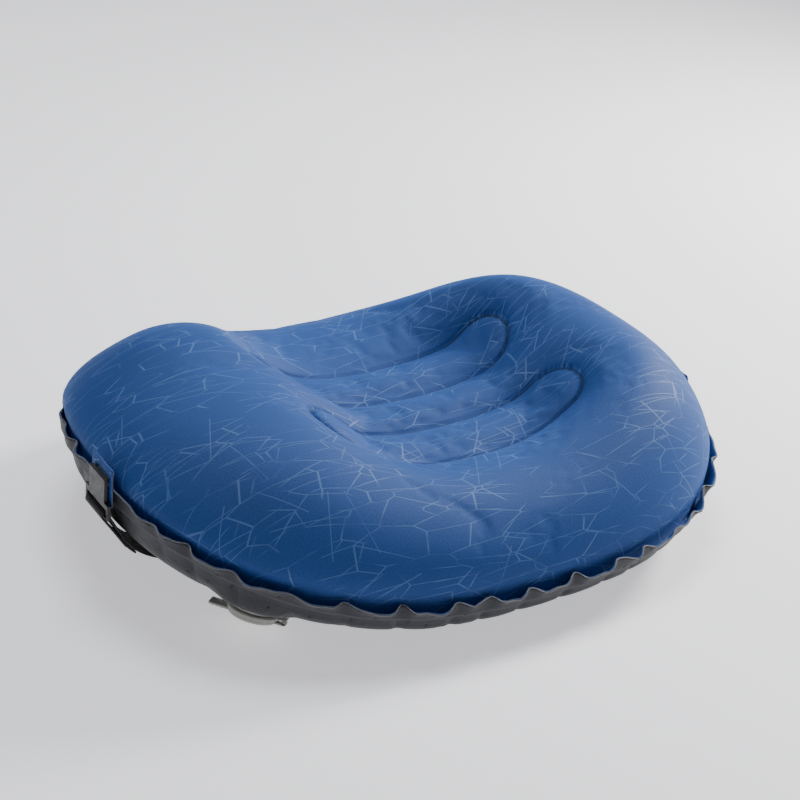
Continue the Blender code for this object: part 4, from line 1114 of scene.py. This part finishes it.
def tab(name, side):
    """A folded tab of the blue fabric, slotted for the hook, with a rolled fold along its top."""
    low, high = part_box(name)
    height = high[2] - low[2]
    verts, flats, faces = [], [], []
    for j in range(TAB_ROWS + 1):
        up = height * j / TAB_ROWS
        for i in range(TAB_COLUMNS + 1):
            across = -TAB_HALF + 2 * TAB_HALF * i / TAB_COLUMNS
            corner = max(0.0, (abs(across) - (TAB_HALF - TAB_CORNER)) / TAB_CORNER) \
                * max(0.0, (up - (height - TAB_CORNER)) / TAB_CORNER)
            lean = TAB_CURL * max(0.0, (up - TAB_CURL_FROM) / TAB_CURL_LENGTH) ** 2 \
                + TAB_WAVE * math.sin(across * TAB_WAVES) * (up / height)
            out = side * (TAB_FACE - TAB_THICK_HALF - lean)
            verts.append((out, STRAP_Y + across * (1 - TAB_CORNER_IN * corner),
                          low[2] + up - TAB_CORNER_DROP * corner))
            flats.append((across, up, 0))
    for j in range(TAB_ROWS):
        for i in range(TAB_COLUMNS):
            across = -TAB_HALF + 2 * TAB_HALF * (i + 0.5) / TAB_COLUMNS
            up = height * (j + 0.5) / TAB_ROWS + TAB_LOW
            if abs(across) < TAB_SLOT_HALF and TAB_SLOT[0] < up < TAB_SLOT[1]:
                continue
            a = j * (TAB_COLUMNS + 1) + i
            faces.append((a, a + 1, a + TAB_COLUMNS + 2, a + TAB_COLUMNS + 1))
    mesh = bpy.data.meshes.new(name)
    mesh.from_pydata(verts, [], faces if side > 0 else [f[::-1] for f in faces])
    place_attribute(mesh, flats)
    mesh.shade_smooth()
    made = add_object(name + "_fabric", mesh, BLUE, BLUE_EDGE)
    thicken(made, TAB_THICK, offset=0.0, rim_look=1)
    apply_modifiers(made)
    hang(made, "root", "blue_fabric", name)
    turns = [2 * math.pi * k / TAB_FOLD_SIDES for k in range(TAB_FOLD_SIDES)]
    x = side * (TAB_FACE - TAB_FOLD_DEPTH)
    z = high[2] - TAB_FOLD_RADIUS - TAB_FOLD_DROP
    ring = [(side * TAB_FOLD_RADIUS * math.cos(t), TAB_FOLD_RADIUS * TAB_FOLD_TALL * math.sin(t)) for t in turns]
    rings = [[(x + out, STRAP_Y + y, z + up) for out, up in ring]
             for y in np.linspace(TAB_FOLD_END - TAB_HALF, TAB_HALF - TAB_FOLD_END, 25)]
    mesh = tube_mesh(name + "_fold", rings)
    place_attribute(mesh, [(v.co.y, v.co.z, 0) for v in mesh.vertices])
    hang(add_object(name + "_fold", mesh, BLUE), "root", "blue_fabric")


# ---- valve -----------------------------------------------------------------------------------------

def lathe(name, profile, look, closed=True):
    """A profile of (radius, height) points turned about the valve's axis."""
    steps, bm = LATHE_STEPS, bmesh.new()
    rings = []
    for radius, height in profile:
        if radius < 1e-6:
            rings.append([bm.verts.new((0, 0, height))])
        else:
            turns = [2 * math.pi * k / steps for k in range(steps)]
            rings.append([bm.verts.new((radius * math.cos(t), radius * math.sin(t), height)) for t in turns])
    pairs = list(zip(rings, rings[1:] + rings[:1] if closed else rings[1:]))
    for first, second in pairs:
        for k in range(steps):
            n = (k + 1) % steps
            if len(first) == 1 and len(second) == 1:
                continue
            if len(first) == 1:
                bm.faces.new((first[0], second[k], second[n]))
            elif len(second) == 1:
                bm.faces.new((first[k], first[n], second[0]))
            else:
                bm.faces.new((first[k], first[n], second[n], second[k]))
    made = add_object(name, mesh_from(bm, name, False), look)
    made.matrix_world = VALVE
    return made


def rounded(corners, radius=0.0003, steps=3):
    """A closed profile with its corners rounded."""
    points = []
    count = len(corners)
    for i in range(count):
        before, here, after = (Vector(corners[(i + k) % count]) for k in (-1, 0, 1))
        way_in, way_out = before - here, after - here
        cut = min(radius, way_in.length * 0.45, way_out.length * 0.45)
        if here.x < 1e-6 or cut < 1e-6:
            points.append(tuple(here))
            continue
        start, end = here + way_in.normalized() * cut, here + way_out.normalized() * cut
        for k in range(steps + 1):
            t = k / steps
            points.append(tuple(start * (1 - t) ** 2 + here * 2 * t * (1 - t) + end * t ** 2))
    return points


def block(name, low, high, look, width=0.0003, segments=3):
    """A rounded block in the valve's frame."""
    bm = bmesh.new()
    bmesh.ops.create_cube(bm, size=1.0)
    low, high = Vector(low), Vector(high)
    bmesh.ops.scale(bm, vec=high - low, verts=bm.verts)
    bmesh.ops.translate(bm, vec=(low + high) / 2, verts=bm.verts)
    bmesh.ops.bevel(bm, geom=bm.edges[:], offset=width, segments=segments, affect="EDGES", profile=0.5)
    mesh = bpy.data.meshes.new(name)
    bm.to_mesh(mesh)
    bm.free()
    mesh.shade_smooth()
    made = add_object(name, mesh, look)
    made.matrix_world = VALVE
    return made


def joined(name, pieces, shade=35):
    """One mesh from several that touch or overlap."""
    whole = pieces[0]
    bpy.context.view_layer.update()
    for other in pieces[1:]:
        cut = whole.modifiers.new("union", "BOOLEAN")
        cut.operation = "UNION"
        cut.object = other
        cut.solver = "EXACT"
    apply_modifiers(whole)
    for other in pieces[1:]:
        bpy.data.objects.remove(other)
    whole.data.shade_smooth()
    whole.data.set_sharp_from_angle(angle=math.radians(shade))
    whole.name = name
    return whole


def valve_strap(name, path, half_width, thickness, look, node):
    """A moulded strap, bent round a hinge line."""
    line, way = even_path(path, 0.0004)
    tangent = np.gradient(line, axis=0)
    tangent /= np.linalg.norm(tangent, axis=1)[:, None]
    normal = np.stack([-tangent[:, 1], tangent[:, 0]], -1)
    bm = bmesh.new()
    rings = []
    section = []
    for k in range(16):
        turn = 2 * math.pi * k / 16
        c, s = math.cos(turn), math.sin(turn)
        section.append((half_width * math.copysign(abs(c) ** 0.35, c), thickness / 2 * math.copysign(abs(s) ** 0.6, s)))
    for i, ((x, z), (nx, nz)) in enumerate(zip(line, normal)):
        waist = 1.0 - 0.22 * math.sin(math.pi * i / (len(line) - 1))
        rings.append([bm.verts.new(VALVE @ Vector((x + nx * up, across * waist, z + nz * up)))
                      for across, up in section])
    for one, two in zip(rings, rings[1:]):
        for k in range(len(section)):
            n = (k + 1) % len(section)
            bm.faces.new((one[k], one[n], two[n], two[k]))
    bm.faces.new(rings[0])
    bm.faces.new(rings[-1][::-1])
    bmesh.ops.recalc_face_normals(bm, faces=bm.faces)
    mesh = bpy.data.meshes.new(name)
    bm.to_mesh(mesh)
    bm.free()
    mesh.shade_smooth()
    made = add_object(name, mesh, look)
    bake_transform(made)
    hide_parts(node)
    return made


def valve():
    body = lathe("valve_body_moulding", rounded([
        (0.0132, 0.0038), (0.0132, 0.0016), (0.0178, 0.0014), (0.0190, 0.0009), (0.0190, 0.0003), (0.0108, 0.0003),
        (0.0108, -0.0062), (0.0085, -0.0062), (0.0085, 0.0038)], 0.00035), VALVE_PLASTIC)
    joined("valve_body_moulding", [body])
    hang(body, "root", "valve_plastic", "valve_body")
    ring = lathe("valve_weld_ring_film", rounded([(0.0165, -0.0050), (0.0165, -0.0056), (0.0114, -0.0056),
                                                  (0.0114, -0.0050)], 0.0001), VALVE_PLASTIC)
    joined("valve_weld_ring_film", [ring])
    hang(ring, "root", "valve_plastic", "valve_weld_ring")
    plug = lathe("deflate_plug_moulding", rounded([
        (0.0160, 0.0062), (0.0160, 0.0042), (0.0082, 0.0041), (0.0076, -0.0020), (0.0060, -0.0020),
        (0.0060, 0.0062)], 0.00035), VALVE_PLASTIC)
    extras = [block("plug_cross_x", (-0.0068, -0.0009, -0.0019), (0.0068, 0.0009, -0.0010), VALVE_PLASTIC, 0.0001),
              block("plug_cross_y", (-0.0009, -0.0068, -0.0019), (0.0009, 0.0068, -0.0010), VALVE_PLASTIC, 0.0001),
              block("plug_lug", (-0.0182, -0.0045, 0.0043), (-0.0150, 0.0045, 0.0055), VALVE_PLASTIC)]
    joined("deflate_plug_moulding", [plug, *extras])
    hang(plug, "plug", "valve_plastic", "deflate_plug")
    flap = lathe("check_diaphragm_flap", rounded([
        (0.0, 0.0016), (0.0012, 0.0014), (0.0020, 0.0006), (0.0010, 0.0005), (0.0010, -0.0024), (0.0073, -0.0024),
        (0.0073, -0.0031), (0.0, -0.0031)], 0.0002), SILICONE, closed=False)
    joined("check_diaphragm_flap", [flap])
    hang(flap, "diaphragm", "silicone", "check_diaphragm")
    top = [(0.0, 0.0098), (0.0060, 0.00975), (0.0105, 0.0095), (0.0108, 0.00915), (0.0114, 0.0091), (0.0118, 0.0094),
           (0.0140, 0.0089), (0.0150, 0.0080), (0.0150, 0.0066), (0.0056, 0.0066), (0.0053, 0.0030), (0.0, 0.0030)]
    cap = lathe("inflate_cap_moulding", rounded(top, 0.0003), VALVE_PLASTIC, closed=False)
    pieces = [block("cap_tab", (0.0130, -0.0052, 0.0068), (0.0265, 0.0052, 0.0086), VALVE_PLASTIC, 0.0007, 4),
              block("cap_lug", (-0.0182, -0.0045, 0.0069), (-0.0140, 0.0045, 0.0081), VALVE_PLASTIC)]
    for k in range(3):
        x = 0.0180 + 0.0026 * k
        pieces.append(block("cap_rib", (x, -0.0040, 0.0080), (x + 0.0012, 0.0040, 0.0092), VALVE_PLASTIC, 0.0004))
    joined("inflate_cap_moulding", [cap, *pieces])
    hang(cap, "cap", "valve_plastic", "inflate_cap")
    path = [(-0.0176, 0.00085), (-0.0196, 0.0010), (-0.0209, 0.0020), (-0.0211, 0.0032), (-0.0204, 0.0043),
            (-0.0190, 0.0049), (-0.0172, 0.0049)]
    valve_strap("plug_tether_strap", path, 0.0043, 0.0009, VALVE_PLASTIC,
                "plug_tether")
    path = [(-0.0166, 0.0058), (-0.0188, 0.0060), (-0.0203, 0.0065), (-0.0207, 0.0071), (-0.0203, 0.0077),
            (-0.0190, 0.0080), (-0.0170, 0.0078)]
    valve_strap("cap_tether_strap", path, 0.0041, 0.0008, VALVE_PLASTIC,
                "cap_tether")


def kept_nodes():
    """Hooks and the slider keep their CAD shape, with rounder edges and a moulded finish."""
    for name in ("hook_left", "hook_right", "strap_slider"):
        obj = frame["nodes"][name]
        obj.data.materials.clear()
        obj.data.materials.append(BLACK_PLASTIC)
        edge = obj.modifiers.new("rounded edges", "BEVEL")
        edge.width = 0.00035
        edge.segments = 3
        edge.limit_method = "ANGLE"
        edge.angle_limit = math.radians(40)


# ---- stage, camera and lights ----------------------------------------------------------------------

CAMERA_AZIMUTH, CAMERA_ELEVATION = math.radians(35.0775), math.radians(28.4854)
CAMERA_ROLL, CAMERA_DISTANCE, CAMERA_TARGET = math.radians(6.3136), 1.1254, Vector((0, 0, 0.05))
CAMERA_LENS, CAMERA_SHIFT = 76.5, (0.00303, 0.0399)


def camera():
    data = bpy.data.cameras.new("camera")
    data.lens, data.sensor_width = CAMERA_LENS, 36.0
    data.shift_x, data.shift_y = CAMERA_SHIFT
    made = bpy.data.objects.new("camera", data)
    bpy.context.scene.collection.objects.link(made)
    a, e = CAMERA_AZIMUTH, CAMERA_ELEVATION
    back = Vector((-math.sin(a) * math.cos(e), -math.cos(a) * math.cos(e), math.sin(e)))
    right = Vector((math.cos(a), -math.sin(a), 0))
    up = back.cross(right)
    c, s = math.cos(CAMERA_ROLL), math.sin(CAMERA_ROLL)
    turn = Matrix((right * c + up * s, up * c - right * s, back)).transposed()
    made.matrix_world = Matrix.Translation(CAMERA_TARGET + back * CAMERA_DISTANCE) @ turn.to_4x4()
    bpy.context.scene.camera = made


def light(name, place, aim, size, power, colour=(1, 1, 1)):
    data = bpy.data.lights.new(name, "AREA")
    data.shape = "DISK"
    data.size, data.energy, data.color = size, power, colour
    made = bpy.data.objects.new(name, data)
    bpy.context.scene.collection.objects.link(made)
    made.location = place
    made.rotation_euler = (Vector(aim) - Vector(place)).to_track_quat("-Z", "Y").to_euler()


def studio():
    bm = bmesh.new()
    bmesh.ops.create_grid(bm, x_segments=8, y_segments=8, size=3.5)
    mesh = bpy.data.meshes.new("floor")
    bm.to_mesh(mesh)
    bm.free()
    floor = add_object("floor", mesh, floor_look())
    floor.location = (0, 0, -0.0004)
    world = bpy.data.worlds.new("studio")
    bpy.context.scene.world = world
    world.use_nodes = True
    world.node_tree.nodes["Background"].inputs["Color"].default_value = (0.93, 0.95, 1.0, 1.0)
    world.node_tree.nodes["Background"].inputs["Strength"].default_value = 0.12
    light("key", (1.25, 0.20, 0.72), (0.02, 0.0, 0.06), 0.40, 29.0)
    light("overhead", (0.1, 0.45, 1.5), (0, 0, 0), 0.9, 15.0, (0.94, 0.97, 1.0))
    light("front fill", (-1.0, -1.1, 0.35), (0, 0, 0.05), 0.9, 0.3, (0.95, 0.97, 1.0))


camera()
studio()
panels()
for band, band_y in zip(("tie_band_back", "tie_band_front"), WELD_MIDDLES):
    tie_band(band, band_y)
for tab_name, tab_side in (("tab_left", -1), ("tab_right", 1)):
    tab(tab_name, tab_side)
strap()
bartacks()
valve()
kept_nodes()
